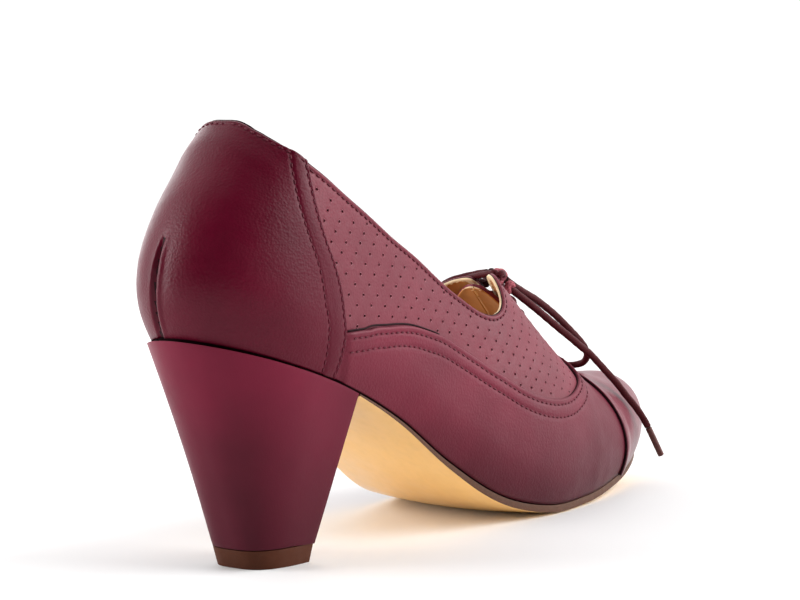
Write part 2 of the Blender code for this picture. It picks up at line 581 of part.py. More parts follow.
def main():
    clear_scene()
    if COLLECTION not in bpy.data.collections:
        bpy.context.scene.collection.children.link(bpy.data.collections.new(COLLECTION))
    quarter = material("quarter_leather", (0.150, 0.038, 0.062), 0.45)
    vamp = material("vamp_leather", (0.140, 0.032, 0.055), 0.42)
    counter = material("counter_leather", (0.100, 0.016, 0.032), 0.35)
    cap = material("cap_leather", (0.150, 0.036, 0.060), 0.35)
    lining = material("tongue_leather", (0.130, 0.032, 0.050), 0.5)
    heel = material("heel_cover", (0.110, 0.022, 0.040), 0.40)
    rubber = material("lift_rubber", (0.120, 0.055, 0.028), 0.7)
    sole = material("sole_leather", (0.780, 0.480, 0.220), 0.35)
    insole = material("insole_leather", (0.500, 0.240, 0.080), 0.6)
    lace = material("waxed_lace", (0.055, 0.014, 0.016), 0.55)
    aglet = material("lace_tip", (0.090, 0.030, 0.025), 0.45)

    pieces = [
        build_outsole(sole), build_heel(heel), build_top_lift(rubber), build_insole(insole),
        build_upper(quarter), build_vamp(vamp), build_counter(counter), build_toe_cap(cap),
        build_tongue(lining), build_lace_bars(lace),
    ]
    cords = [
        build_knot(lace),
        tube("lace_loop_lateral", LATERAL_LOOP, LACE_RADIUS, lace),
        tube("lace_loop_medial", MEDIAL_LOOP, LACE_RADIUS, lace),
        tube("lace_end_lateral", LATERAL_END, LACE_RADIUS, lace),
        tube("lace_end_medial", MEDIAL_END, LACE_RADIUS, lace),
        tube("aglet_lateral", LATERAL_AGLET, AGLET_RADIUS, aglet),
        tube("aglet_medial", MEDIAL_AGLET, AGLET_RADIUS, aglet),
    ]
    centre_on_floor(pieces, cords)


main()
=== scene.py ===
"""Looks of a women's lace-up shoe on a tapered block heel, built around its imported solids.

Every leather piece is a layer of one last, the foot form that a shoe is pulled over, worked out in
millimetres in the last's own frame: `at` runs from heel back to toe tip, `phi` from the feather edge
(where upper meets sole) to the ridge of the instep, and depth is measured out from the last's skin.
"""
from __future__ import annotations

import json
import logging
import math
from dataclasses import dataclass, field
from enum import Enum

import bmesh
import bpy
import numpy as np
from bpy.types import ID, Material, Mesh, Node, NodeSocket, NodeTree, Object
from mathutils import Matrix, Vector
from mathutils.geometry import delaunay_2d_cdt

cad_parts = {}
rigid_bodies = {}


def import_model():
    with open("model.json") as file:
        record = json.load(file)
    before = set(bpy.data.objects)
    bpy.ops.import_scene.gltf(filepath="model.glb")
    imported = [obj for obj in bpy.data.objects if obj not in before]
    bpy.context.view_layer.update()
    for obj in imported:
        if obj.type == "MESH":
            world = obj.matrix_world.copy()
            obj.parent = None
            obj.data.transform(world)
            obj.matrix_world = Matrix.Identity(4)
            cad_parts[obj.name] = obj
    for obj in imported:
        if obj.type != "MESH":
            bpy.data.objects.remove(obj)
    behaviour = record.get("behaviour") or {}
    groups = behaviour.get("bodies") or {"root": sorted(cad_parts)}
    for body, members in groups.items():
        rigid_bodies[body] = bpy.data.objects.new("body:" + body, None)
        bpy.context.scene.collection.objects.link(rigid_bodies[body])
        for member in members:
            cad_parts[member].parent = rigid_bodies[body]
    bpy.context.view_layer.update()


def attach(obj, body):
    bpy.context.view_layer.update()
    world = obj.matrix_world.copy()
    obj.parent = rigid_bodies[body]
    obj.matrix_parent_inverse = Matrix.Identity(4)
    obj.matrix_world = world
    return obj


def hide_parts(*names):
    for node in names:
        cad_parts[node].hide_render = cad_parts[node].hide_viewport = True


LOG = logging.getLogger("lace_up_shoe")
MM = 0.001
ROW_SHIFT = np.array([-112.830, -3.411, 0.0])   # last frame to row frame, millimetres
HEEL_GIRTH = 150.0      # millimetres to one phi round the heel
OPENING_GIRTH = 95.0    # millimetres to one phi along the opening
Array = np.ndarray
Pair = tuple[float, float]
Triple = tuple[float, float, float]


class Side(Enum):
    """The two sides of a right shoe."""

    LATERAL = -1
    MEDIAL = 1


def smooth(xs: Array, ys: Array, x: Array) -> Array:
    """Cubic interpolation through points, held at the ends.

    Args:
        xs: Rising positions of the points.
        ys: Values at those positions.
        x: Where to read the curve.

    Returns:
        The curve's values at x.
    """
    xs, ys, x = (np.asarray(v, float) for v in (xs, ys, x))
    span = np.diff(xs)
    rise = np.diff(ys) / span
    slope = np.empty_like(ys)
    slope[1:-1] = (rise[:-1] * span[1:] + rise[1:] * span[:-1]) / (span[1:] + span[:-1])
    slope[0] = 1.5 * rise[0] - 0.5 * slope[1]
    slope[-1] = 1.5 * rise[-1] - 0.5 * slope[-2]
    i = np.clip(np.searchsorted(xs, x) - 1, 0, len(xs) - 2)
    t = np.clip((x - xs[i]) / span[i], 0.0, 1.0)
    start, end = slope[i] * span[i], slope[i + 1] * span[i]
    step = ys[i + 1] - ys[i]
    return ys[i] + t * (start + t * (3 * step - 2 * start - end + t * (start + end - 2 * step)))


def ease(x: Array, low: float, high: float) -> Array:
    """Soft step from 0 at low to 1 at high."""
    t = np.clip((np.asarray(x, float) - low) / (high - low), 0, 1)
    return t * t * (3 - 2 * t)


def trough(distance: Array, width: float) -> Array:
    """Soft bell of height 1 at distance 0, about width wide."""
    return np.exp(-((np.asarray(distance, float) / (0.5 * width)) ** 2))


def rounded(distance: Array, radius: float) -> Array:
    """How far a rounded edge has fallen away at a distance in from the edge."""
    share = 1 - np.clip(np.asarray(distance, float) / radius, 0, 1)
    return radius * (1 - np.sqrt(np.clip(1 - share ** 2, 0, 1)))


def resample(points: Array, count: int) -> Array:
    """Points at even spacing along a smooth curve through the given ones.

    Args:
        points: Knots of the curve, one per row, of any dimension.
        count: How many points to return.

    Returns:
        The evenly spaced points.
    """
    points = np.asarray(points, float)
    if len(points) == 2:
        return points[0] + (points[1] - points[0]) * np.linspace(0, 1, count)[:, None]
    knots = np.arange(len(points), dtype=float)
    fine = np.linspace(0, len(points) - 1, 40 * len(points))
    dense = np.stack([smooth(knots, column, fine) for column in points.T], -1)
    run = np.concatenate([[0], np.cumsum(np.linalg.norm(np.diff(dense, axis=0), axis=1))])
    even = np.linspace(0, run[-1], count)
    return np.stack([np.interp(even, run, column) for column in dense.T], -1)


def run_length(line: Array) -> float:
    """Length of a polyline."""
    return float(np.sum(np.linalg.norm(np.diff(line, axis=0), axis=1)))


def to_row(points: Array) -> list[list[float]]:
    """Points of the last's frame in the row frame, in metres."""
    return ((np.asarray(points) + ROW_SHIFT) * MM).tolist()


def set_inputs(node: Node, values: dict[str, object]) -> None:
    """Give plain values to a node's inputs, by name."""
    for name, value in values.items():
        node.inputs[name].default_value = value


def join_nodes(tree: NodeTree, *joins: tuple[Node, str, Node, str]) -> None:
    """Link nodes, each join from a named output to a named input."""
    for source, output, target, entry in joins:
        tree.links.new(source.outputs[output], target.inputs[entry])


def add_object(name: str, data: ID) -> Object:
    """Put a new object in the scene.

    Args:
        name: The object's name.
        data: Its mesh, light or camera.

    Returns:
        The new object.
    """
    obj = bpy.data.objects.new(name, data)
    bpy.context.scene.collection.objects.link(obj)
    return obj


def face_outward(mesh: Mesh) -> None:
    """Turn the faces of a closed mesh outward.

    Args:
        mesh: The mesh.
    """
    bm = bmesh.new()
    bm.from_mesh(mesh)
    bmesh.ops.recalc_face_normals(bm, faces=bm.faces)
    bm.to_mesh(mesh)
    bm.free()


@dataclass(frozen=True)
class Last:
    """The foot form that the shoe is pulled over, in millimetres."""

    length: float = 233.5
    belly_phi: float = 0.22
    heel_nose: float = 0.135
    toe_nose: float = 0.30
    nose_power: float = 2.1
    toe_setback: float = 21.5
    toe_tuck: float = 3.0
    shear_power: int = 4
    back_height: tuple[float, ...] = (0.0, 11.5, 23.5, 37.0, 48.5, 60.0)
    back_forward: tuple[float, ...] = (-3.5, -7.5, -6.5, 1.0, 10.5, 19.0)
    back_lean: float = 0.35
    pole_share: float = 0.06
    columns: tuple[str, ...] = (
        "at", "seat", "lateral", "medial", "ridge", "belly", "tuck", "square", "swing")
    sections: tuple[tuple[float, ...], ...] = (
        (0.0, 68.4, 26.5, 27.0, 165.0, 19.5, 4.0, 2.20, 0.0),
        (0.1, 60.0, 26.0, 26.5, 161.0, 19.5, 4.0, 2.20, 0.0),
        (0.2, 51.0, 26.0, 26.5, 151.0, 19.5, 4.0, 2.10, 0.0),
        (0.3, 39.0, 26.0, 26.5, 136.0, 19.5, 4.0, 2.00, 0.0),
        (0.4, 23.0, 27.0, 28.5, 118.0, 17.5, 4.0, 1.90, 0.0),
        (0.5, 9.6, 29.5, 33.0, 98.5, 15.5, 4.0, 1.85, -0.5),
        (0.6, 3.7, 31.0, 37.5, 78.7, 13.5, 3.5, 1.85, -1.0),
        (0.7, 3.4, 30.0, 38.5, 59.3, 12.5, 3.0, 1.90, 0.0),
        (0.8, 5.0, 28.5, 37.0, 42.6, 11.5, 3.0, 2.00, 2.0),
        (0.9, 8.0, 26.5, 33.0, 38.2, 10.5, 3.0, 2.10, 3.0),
        (1.0, 14.0, 24.5, 28.5, 36.8, 8.5, 2.5, 2.20, 3.0),
    )

    def column(self, name: str) -> Array:
        """One column of the section table."""
        return np.array(self.sections, float)[:, self.columns.index(name)]

    def section(self, name: str, at: Array) -> Array:
        """One column of the section table, anywhere along the last."""
        return smooth(self.column("at"), self.column(name), at)

    def nose(self, share: Array) -> Array:
        """Width left at a share of the way into a rounded end."""
        return (1 - (1 - np.clip(share, 0, 1)) ** self.nose_power) ** (1 / self.nose_power)

    def point(self, at: Array, phi: Array, side: Side) -> Array:
        """Points on the last's skin.

        Args:
            at: Place along the last.
            phi: Place round the section.
            side: Which side of the foot.

        Returns:
            Points in millimetres, with xyz as the last axis.
        """
        at, phi = np.broadcast_arrays(np.asarray(at, float), np.asarray(phi, float))
        half = self.section(side.name.lower(), at)
        seat, ridge, belly = (self.section(name, at) for name in ("seat", "ridge", "belly"))
        power = 2.0 / self.section("square", at)
        low = phi < self.belly_phi
        climb = np.clip(phi / self.belly_phi, 0, 1)
        turn = np.clip((phi - self.belly_phi) / (1 - self.belly_phi), 0, 1) * math.pi / 2
        sine, cosine = np.sin(turn), np.clip(np.cos(turn), 0, 1)
        across = np.where(low, 1 - self.section("tuck", at) / half * (1 - climb) ** 2, cosine ** power)
        z = np.where(low, seat + belly * climb, seat + belly + (ridge - seat - belly) * sine ** power)
        y = side.value * half * across * self.nose(at / self.heel_nose)
        y = y * self.nose((1 - at) / self.toe_nose)

        square = self.column("square")
        back_rise = self.column("ridge")[0] - self.column("seat")[0] - self.column("belly")[0]
        height = self.column("belly")[0] * climb + np.where(low, 0, back_rise * sine ** (2.0 / square[0]))
        back = smooth(self.back_height, self.back_forward, height)
        back = back + self.back_lean * np.clip(height - self.back_height[-1], 0, None)
        setback = -self.toe_setback * (1 - cosine ** (2.0 / square[-1]))
        toe = np.where(low, -self.toe_tuck * (1 - climb) ** 2, setback)
        x = at * self.length + back * (1 - at) ** self.shear_power + toe * at ** self.shear_power
        return np.stack([x, y + self.section("swing", at), z], axis=-1)

    def normal(self, at: Array, phi: Array, side: Side) -> Array:
        """Outward unit normals of the last's skin.

        Args:
            at: Place along the last.
            phi: Place round the section.
            side: Which side.

        Returns:
            Normals, with xyz as the last axis.
        """
        at, phi = np.broadcast_arrays(np.asarray(at, float), np.asarray(phi, float))
        step = 0.002
        shared = (at < 1e-6) | (at > 1 - 1e-6) | (phi > 1 - 1e-6)
        phi = np.minimum(phi, 1 - self.pole_share * np.clip((at - 0.9) / 0.1, 0, 1))
        s = np.arccos(np.clip(1 - 2 * at, -1, 1)) / math.pi
        s_low, s_high = np.clip(s - step, 0, 1), np.clip(s + step, 0, 1)
        p_low, p_high = np.clip(phi - step, 0, 1), np.clip(phi + step, 0, 1)
        along = (self.point((1 - np.cos(math.pi * s_high)) / 2, phi, side)
                 - self.point((1 - np.cos(math.pi * s_low)) / 2, phi, side))
        upward = self.point(at, p_high, side) - self.point(at, p_low, side)
        normal = -side.value * np.cross(along, upward)
        normal[..., 1] = np.where(shared, 0.0, normal[..., 1])
        return normal / np.linalg.norm(normal, axis=-1, keepdims=True)

    def skin(self, at: Array, phi: Array, side: Side, depth: Array) -> Array:
        """Points at a depth outside (above zero) or inside the last's skin."""
        return self.point(at, phi, side) + self.normal(at, phi, side) * np.asarray(depth, float)[..., None]

    def feather(self, at: Array, lip: Array) -> Array:
        """Feather edge of both sides moved out level by a lip.

        Args:
            at: Places along the last.
            lip: How far out, in millimetres.

        Returns:
            Points as (station, side, xyz).
        """
        rows = []
        for side in Side:
            push = self.normal(at, np.zeros_like(at), side) * (1, 1, 0)
            push /= np.linalg.norm(push, axis=-1, keepdims=True)
            rows.append(self.point(at, np.zeros_like(at), side) + push * np.asarray(lip, float)[..., None])
        return np.stack(rows, axis=1)


LAST = Last()


@dataclass(frozen=True)
class Finish:
    """What all finishes share: a name, a colour and a gloss."""

    name: str
    colour: Triple
    roughness: float = 0.5

    def start(self) -> tuple[Material, NodeTree, Node]:
        """Empty material with its Principled shader's plain values set.

        Returns:
            The material, its node tree and its shader.
        """
        mat = bpy.data.materials.new(self.name)
        mat.use_nodes = True
        mat.diffuse_color = (*self.colour, 1.0)
        shader = mat.node_tree.nodes["Principled BSDF"]
        set_inputs(shader, {"Base Color": (*self.colour, 1.0), "Roughness": self.roughness})
        return mat, mat.node_tree, shader

    def noise(self, tree: NodeTree, source: NodeSocket, size: float,
              detail: float = 3.0) -> NodeSocket:
        """Noise of a feature size in millimetres.

        Args:
            tree: The material's nodes.
            source: Coordinates in metres.
            size: Size of one feature, in millimetres.
            detail: Octaves of finer noise.

        Returns:
            The noise's value socket.
        """
        node = tree.nodes.new("ShaderNodeTexNoise")
        set_inputs(node, {"Scale": 1 / (size * MM), "Detail": detail})
        tree.links.new(source, node.inputs["Vector"])
        return node.outputs["Fac"]

    def ramp(self, tree: NodeTree, value: NodeSocket,
             stops: list[tuple[float, Triple]]) -> NodeSocket:
        """Colours spread over a value.

        Args:
            tree: The material's nodes.
            value: The value, from 0 to 1.
            stops: Each colour with its place.

        Returns:
            The colour socket.
        """
        node = tree.nodes.new("ShaderNodeValToRGB")
        while len(node.color_ramp.elements) < len(stops):
            node.color_ramp.elements.new(0.5)
        for element, (place, colour) in zip(node.color_ramp.elements, stops):
            element.position = place
            element.color = (*colour, 1.0)
        tree.links.new(value, node.inputs["Fac"])
        return node.outputs["Color"]

    def dye(self, tree: NodeTree, shader: Node, value: NodeSocket, *stops: Pair) -> None:
        """Spread tints of the colour over a value."""
        colours = [(place, self.tint(share)) for place, share in stops]
        tree.links.new(self.ramp(tree, value, colours), shader.inputs["Base Color"])

    def dull(self, tree: NodeTree, shader: Node, value: NodeSocket, less: float, more: float) -> None:
        """Let the roughness wander below and above its plain value."""
        rough = self.span(tree, value, self.roughness - less, self.roughness + more)
        tree.links.new(rough, shader.inputs["Roughness"])

    def span(self, tree: NodeTree, value: NodeSocket, low: float,
             high: float) -> NodeSocket:
        """A value from 0 to 1 spread from low to high."""
        node = tree.nodes.new("ShaderNodeMapRange")
        set_inputs(node, {"From Min": 0.3, "From Max": 0.7, "To Min": low, "To Max": high})
        tree.links.new(value, node.inputs["Value"])
        return node.outputs["Result"]

    def bump(self, tree: NodeTree, height: NodeSocket, shader: Node,
             depth: float, strength: float, under: NodeSocket | None = None) -> NodeSocket:
        """Bump of a depth in millimetres on the shader's normal.

        Args:
            tree: The material's nodes.
            height: The height, from 0 to 1.
            shader: The shader that gets the normal.
            depth: Height of the bump, in millimetres.
            strength: Share of the bump that shows.
            under: A coarser bump's normal that this one lies on.

        Returns:
            The bump's normal socket.
        """
        node = tree.nodes.new("ShaderNodeBump")
        set_inputs(node, {"Distance": depth * MM, "Strength": strength})
        tree.links.new(height, node.inputs["Height"])
        if under is not None:
            tree.links.new(under, node.inputs["Normal"])
        tree.links.new(node.outputs["Normal"], shader.inputs["Normal"])
        return node.outputs["Normal"]

    def coordinates(self, tree: NodeTree, kind: str = "Object") -> NodeSocket:
        """The piece's own coordinates."""
        return tree.nodes.new("ShaderNodeTexCoord").outputs[kind]

    def tint(self, share: float) -> Triple:
        """The colour made lighter (above 1) or darker."""
        return tuple(min(1.0, value * share) for value in self.colour)


@dataclass(frozen=True)
class LeatherFinish(Finish):
    """Smooth dyed leather: cloudy colour, pebbled grain, fine pores and a thin polish."""

    polish: float = 0.25
    coat: float = 0.0
    grain: float = 0.75
    grain_depth: float = 0.11
    cloud: float = 0.14
    painted_floor_shade: float = 0.0        # painted shade: darker towards the floor, by this share
    painted_floor_shade_top: float = 60.0   # height where the painted shade ends

    def build(self) -> Material:
        """Make the material.

        Returns:
            The material.
        """
        mat, tree, shader = self.start()
        here = self.coordinates(tree)
        cloud = self.noise(tree, here, 26.0, 4.0)
        colour = self.ramp(tree, cloud, [
            (0.30, self.tint(1 - self.cloud)), (0.52, self.colour), (0.72, self.tint(1 + self.cloud))])
        # Painted shade: the colour darkens towards the floor.
        if self.painted_floor_shade:
            colour = self.paint_floor_shade(tree, here, colour)
        tree.links.new(colour, shader.inputs["Base Color"])
        rub = self.noise(tree, here, 7.0, 5.0)
        self.dull(tree, shader, rub, 0.05, 0.06)
        set_inputs(shader, {"Coat Weight": self.coat, "Coat Roughness": 0.22,
                            "Specular IOR Level": self.polish})
        pebble = tree.nodes.new("ShaderNodeTexVoronoi")
        pebble.feature = "SMOOTH_F1"
        set_inputs(pebble, {"Scale": 1 / (self.grain * MM), "Smoothness": 0.6})
        tree.links.new(here, pebble.inputs["Vector"])
        soft = self.bump(tree, self.noise(tree, here, 3.2, 2.0), shader, 0.10, 0.35)
        grain = self.bump(tree, pebble.outputs["Distance"], shader, self.grain_depth, 0.6, soft)
        self.bump(tree, self.noise(tree, here, 0.16, 2.0), shader, 0.02, 0.4, grain)
        return mat

    def paint_floor_shade(self, tree: NodeTree, here: NodeSocket,
                   colour: NodeSocket) -> NodeSocket:
        """Painted shade that darkens the colour towards the floor.

        Args:
            tree: The material's nodes.
            here: The piece's coordinates.
            colour: The colour under the painted shade.

        Returns:
            The colour with the painted shade.
        """
        split = tree.nodes.new("ShaderNodeSeparateXYZ")
        tree.links.new(here, split.inputs["Vector"])
        height = tree.nodes.new("ShaderNodeMapRange")
        height.interpolation_type = "SMOOTHSTEP"
        set_inputs(height, {"From Min": 0.0, "From Max": self.painted_floor_shade_top * MM,
                            "To Min": 1 - self.painted_floor_shade, "To Max": 1.0})
        scaled = tree.nodes.new("ShaderNodeVectorMath")
        scaled.operation = "SCALE"
        tree.links.new(colour, scaled.inputs["Vector"])
        join_nodes(tree, (split, "Z", height, "Value"), (height, "Result", scaled, "Scale"))
        return scaled.outputs["Vector"]


@dataclass(frozen=True)
class LiningFinish(Finish):
    """Unpolished tan lining leather with a nap and faint streaks."""

    def build(self) -> Material:
        """Make the material.

        Returns:
            The material.
        """
        mat, tree, shader = self.start()
        here = self.coordinates(tree)
        cloud = self.noise(tree, here, 12.0, 5.0)
        self.dye(tree, shader, cloud, (0.30, 0.78), (0.55, 1.0), (0.75, 1.15))
        shader.inputs["Sheen Weight"].default_value = 0.12
        self.bump(tree, self.noise(tree, here, 0.45, 4.0), shader, 0.06, 0.5)
        return mat


@dataclass(frozen=True)
class SoleFinish(Finish):
    """Varnished sole leather with long faint fibres."""

    coat: float = 0.5

    def build(self) -> Material:
        """Make the material.

        Returns:
            The material.
        """
        mat, tree, shader = self.start()
        here = self.coordinates(tree)
        stretch = tree.nodes.new("ShaderNodeMapping")
        stretch.inputs["Scale"].default_value = (0.25, 1.0, 1.0)
        tree.links.new(here, stretch.inputs["Vector"])
        fibre = self.noise(tree, stretch.outputs["Vector"], 2.2, 6.0)
        self.dye(tree, shader, fibre, (0.25, 0.96), (0.5, 1.0), (0.8, 1.03))
        self.dull(tree, shader, self.noise(tree, here, 9.0), 0.05, 0.07)
        set_inputs(shader, {"Coat Weight": self.coat, "Coat Roughness": 0.2, "Specular IOR Level": 0.4})
        self.bump(tree, fibre, shader, 0.008, 0.2)
        return mat


@dataclass(frozen=True)
class RubberFinish(Finish):
    """Moulded or painted edge material with a fine speckle."""

    speckle: float = 0.5

    def build(self) -> Material:
        """Make the material.

        Returns:
            The material.
        """
        mat, tree, shader = self.start()
        here = self.coordinates(tree)
        grit = self.noise(tree, here, self.speckle, 3.0)
        self.dye(tree, shader, grit, (0.32, 0.80), (0.55, 1.0), (0.72, 1.18))
        self.dull(tree, shader, self.noise(tree, here, 3.0), 0.06, 0.08)
        shader.inputs["Specular IOR Level"].default_value = 0.2
        self.bump(tree, grit, shader, 0.04, 0.4)
        return mat


@dataclass(frozen=True)
class ThreadFinish(Finish):
    """Twisted sewing thread."""

    def build(self) -> Material:
        """Make the material.

        Returns:
            The material.
        """
        mat, tree, shader = self.start()
        here = self.coordinates(tree)
        fuzz = self.noise(tree, here, 0.35, 4.0)
        self.dye(tree, shader, fuzz, (0.35, 0.7), (0.65, 1.25))
        shader.inputs["Specular IOR Level"].default_value = 0.25
        self.bump(tree, fuzz, shader, 0.05, 0.6)
        return mat


@dataclass(frozen=True)
class LaceFinish(Finish):
    """Braided waxed cord, whose strands follow the cord's own UV map."""

    strands: int = 6

    def strand(self, tree: NodeTree, twist: float) -> NodeSocket:
        """One set of strands that wind round the cord one way.

        Args:
            tree: The material's nodes.
            twist: Turns to the left (below zero) or right.

        Returns:
            The height of those strands.
        """
        turn = tree.nodes.new("ShaderNodeMapping")
        turn.inputs["Rotation"].default_value = (0, 0, math.atan(twist))
        tree.links.new(self.coordinates(tree, "UV"), turn.inputs["Vector"])
        wave = tree.nodes.new("ShaderNodeTexWave")
        wave.inputs["Scale"].default_value = self.strands / 2.0
        tree.links.new(turn.outputs["Vector"], wave.inputs["Vector"])
        return wave.outputs["Fac"]

    def build(self) -> Material:
        """Make the material.

        Returns:
            The material.
        """
        mat, tree, shader = self.start()
        braid = tree.nodes.new("ShaderNodeMath")
        braid.operation = "MAXIMUM"
        tree.links.new(self.strand(tree, 1.0), braid.inputs[0])
        tree.links.new(self.strand(tree, -1.0), braid.inputs[1])
        height = braid.outputs["Value"]
        self.dye(tree, shader, height, (0.0, 0.55), (0.6, 1.0), (1.0, 1.3))
        shader.inputs["Specular IOR Level"].default_value = 0.08
        self.bump(tree, height, shader, 0.10, 0.5)
        return mat


class Palette:
    """The shoe's finishes, each made once."""

    def __init__(self) -> None:
        """Make every material."""
        self.quarter = LeatherFinish("quarter_burgundy", (0.158, 0.014, 0.030), 0.48, 0.28).build()
        # The vamp gets painted shade, darker towards the floor.
        self.vamp = LeatherFinish("vamp_burgundy", (0.146, 0.010, 0.027), 0.46, 0.20, painted_floor_shade=0.55,
                                  painted_floor_shade_top=46.0).build()
        # The counter's burgundy is darker than the other pieces, as painted shade for its shaded middle.
        self.counter = LeatherFinish("counter_burgundy_painted_shade", (0.092, 0.0015, 0.013), 0.38, 0.16).build()
        # The toe cap gets painted shade, darker towards the floor.
        self.cap = LeatherFinish("cap_burgundy", (0.170, 0.012, 0.032), 0.34, 0.40, coat=0.1,
                                 painted_floor_shade=0.45, painted_floor_shade_top=34.0).build()
        # The lips' lighter colour is a painted highlight on the rims of the punched holes.
        self.lip = LeatherFinish("punched_lip_painted_highlight", (0.300, 0.070, 0.095), 0.42, 0.40).build()
        self.tongue = LeatherFinish("tongue_burgundy", (0.160, 0.018, 0.034), 0.5, 0.25).build()
        # The heel gets painted shade, darker towards the floor.
        self.heel = LeatherFinish("heel_burgundy", (0.160, 0.008, 0.029), 0.44, 0.13, grain=0.5,
                                  grain_depth=0.02, painted_floor_shade=0.60, painted_floor_shade_top=78.0).build()
        # Dark finish of raw cut edges and inner faces, also used as painted shade in the dart, above the
        # vamp's rear edge and behind the perforations.
        self.raw = RubberFinish("raw_edge_and_painted_shade", (0.022, 0.004, 0.007), 0.8, 0.3).build()
        self.lining = LiningFinish("tan_lining", (0.580, 0.250, 0.055), 0.62).build()
        self.binding = LiningFinish("cream_lining_edge", (0.800, 0.600, 0.360), 0.6).build()
        self.insole = LiningFinish("tan_insole", (0.560, 0.250, 0.060), 0.6).build()
        self.sole = SoleFinish("varnished_sole", (0.940, 0.560, 0.180), 0.35, 0.4).build()
        self.edge = RubberFinish("sole_edge_paint", (0.102, 0.043, 0.024), 0.55, 0.6).build()
        self.lift = RubberFinish("lift_rubber_brown", (0.072, 0.017, 0.005), 0.7, 0.2).build()
        self.thread = ThreadFinish("burgundy_thread", (0.105, 0.010, 0.022), 0.6).build()
        self.pale_thread = ThreadFinish("tan_thread", (0.620, 0.400, 0.200), 0.6).build()
        self.lace = LaceFinish("waxed_lace_cord", (0.062, 0.007, 0.010), 0.5).build()
        # The knot's lighter lace colour is a painted highlight where it catches the top light.
        self.painted_knot_highlight = LaceFinish("lace_knot_painted_highlight", (0.340, 0.085, 0.105), 0.5).build()
        self.tip = RubberFinish("sealed_lace_tip", (0.110, 0.034, 0.030), 0.45, 0.6).build()
        self.eyelet = RubberFinish("eyelet_rim", (0.060, 0.016, 0.020), 0.45, 0.8).build()


@dataclass
class MeshDraft:
    """Points and faces collected in the last's millimetres, then made an object in metres."""

    points: list = field(default_factory=list)
    faces: list = field(default_factory=list)
    slots: list = field(default_factory=list)
    seen: dict = field(default_factory=dict)
    partner: dict = field(default_factory=dict)
    rim_slots: dict = field(default_factory=dict)

    def spot(self, point: Array, layer: int) -> int:
        """Index of a point, shared with an equal one of the same layer.

        Args:
            point: The point.
            layer: Its layer.

        Returns:
            The index.
        """
        key = (layer, *(round(float(value), 4) for value in point))
        if key not in self.seen:
            self.seen[key] = len(self.points)
            self.points.append(point)
        return self.seen[key]

    def face(self, corners: list[int], slot: int) -> None:
        """Add a face, leaving out corners that have run together."""
        corners = list(dict.fromkeys(corners))
        if len(corners) > 2:
            self.faces.append(corners)
            self.slots.append(slot)

    def grid(self, points: Array, slot: int, layer: int = 0) -> None:
        """Quads over a grid of points.

        Args:
            points: Grid of points, with xyz as the last axis.
            slot: Material index of the faces.
            layer: Points are shared only within one layer.
        """
        rows = [[self.spot(point, layer) for point in row] for row in points]
        for row, following in zip(rows, rows[1:]):
            for a, b, c, d in zip(row, row[1:], following[1:], following):
                self.face([a, b, c, d], slot)

    def pair(self, outer: Array, inner: Array) -> None:
        """Note which inner point lies under each outer one, for close_rims."""
        for row, under in zip(outer, inner):
            self.partner.update((self.spot(p, 0), self.spot(q, 1)) for p, q in zip(row, under))

    def close_rims(self, slot: int) -> None:
        """Join the free edges of the outer layer to the inner one.

        Args:
            slot: Material index of the joining faces.
        """
        uses: dict[tuple[int, int], int] = {}
        for corners in self.faces:
            for a, b in zip(corners, corners[1:] + corners[:1]):
                key = (min(a, b), max(a, b))
                uses[key] = uses.get(key, 0) + 1
        for (a, b), count in uses.items():
            if count == 1 and a in self.partner and b in self.partner:
                rim = self.rim_slots.get(a, slot) if b in self.rim_slots else slot
                self.face([a, b, self.partner[b], self.partner[a]], rim)

    def build(self, name: str, materials: list[Material]) -> Object:
        """Make the object in the row frame.

        Args:
            name: The piece's name.
            materials: One material for each slot.

        Returns:
            The new object.
        """
        mesh = bpy.data.meshes.new(name)
        mesh.from_pydata(to_row(self.points), [], self.faces)
        mesh.polygons.foreach_set("material_index", self.slots)
        mesh.polygons.foreach_set("use_smooth", [True] * len(self.faces))
        face_outward(mesh)
        for material in materials:
            mesh.materials.append(material)
        return add_object(name, mesh)


def apply_modifiers(obj: Object) -> Object:
    """Turn an object's modifiers into plain mesh.

    Args:
        obj: The object.

    Returns:
        The same object.
    """
    depsgraph = bpy.context.evaluated_depsgraph_get()
    mesh = bpy.data.meshes.new_from_object(obj.evaluated_get(depsgraph))
    obj.modifiers.clear()
    obj.data = mesh
    return obj


def bevel_edges(obj: Object, width: float, segments: int = 3) -> Object:
    """Round the sharp edges of a solid.

    Args:
        obj: The piece.
        width: Width of the rounding, in millimetres.
        segments: Faces across the rounding.

    Returns:
        The same piece with the rounding in its mesh.
    """
    bevel = obj.modifiers.new("rounding", "BEVEL")
    bevel.width = width * MM
    bevel.segments = segments
    bevel.limit_method = "ANGLE"
    bevel.angle_limit = math.radians(50)
    return apply_modifiers(obj)


def place(obj: Object, slot: str, *nodes: str) -> Object:
    """Ride a piece on the shoe and hide the CAD nodes that it replaces.

    Args:
        obj: The piece.
        slot: The record's material slot; not used.
        nodes: CAD nodes that it replaces.

    Returns:
        The same piece.
    """
    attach(obj, "root")
    if nodes:
        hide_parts(*nodes)
    LOG.info("%s: %d faces", obj.name, len(obj.data.polygons))
    return obj


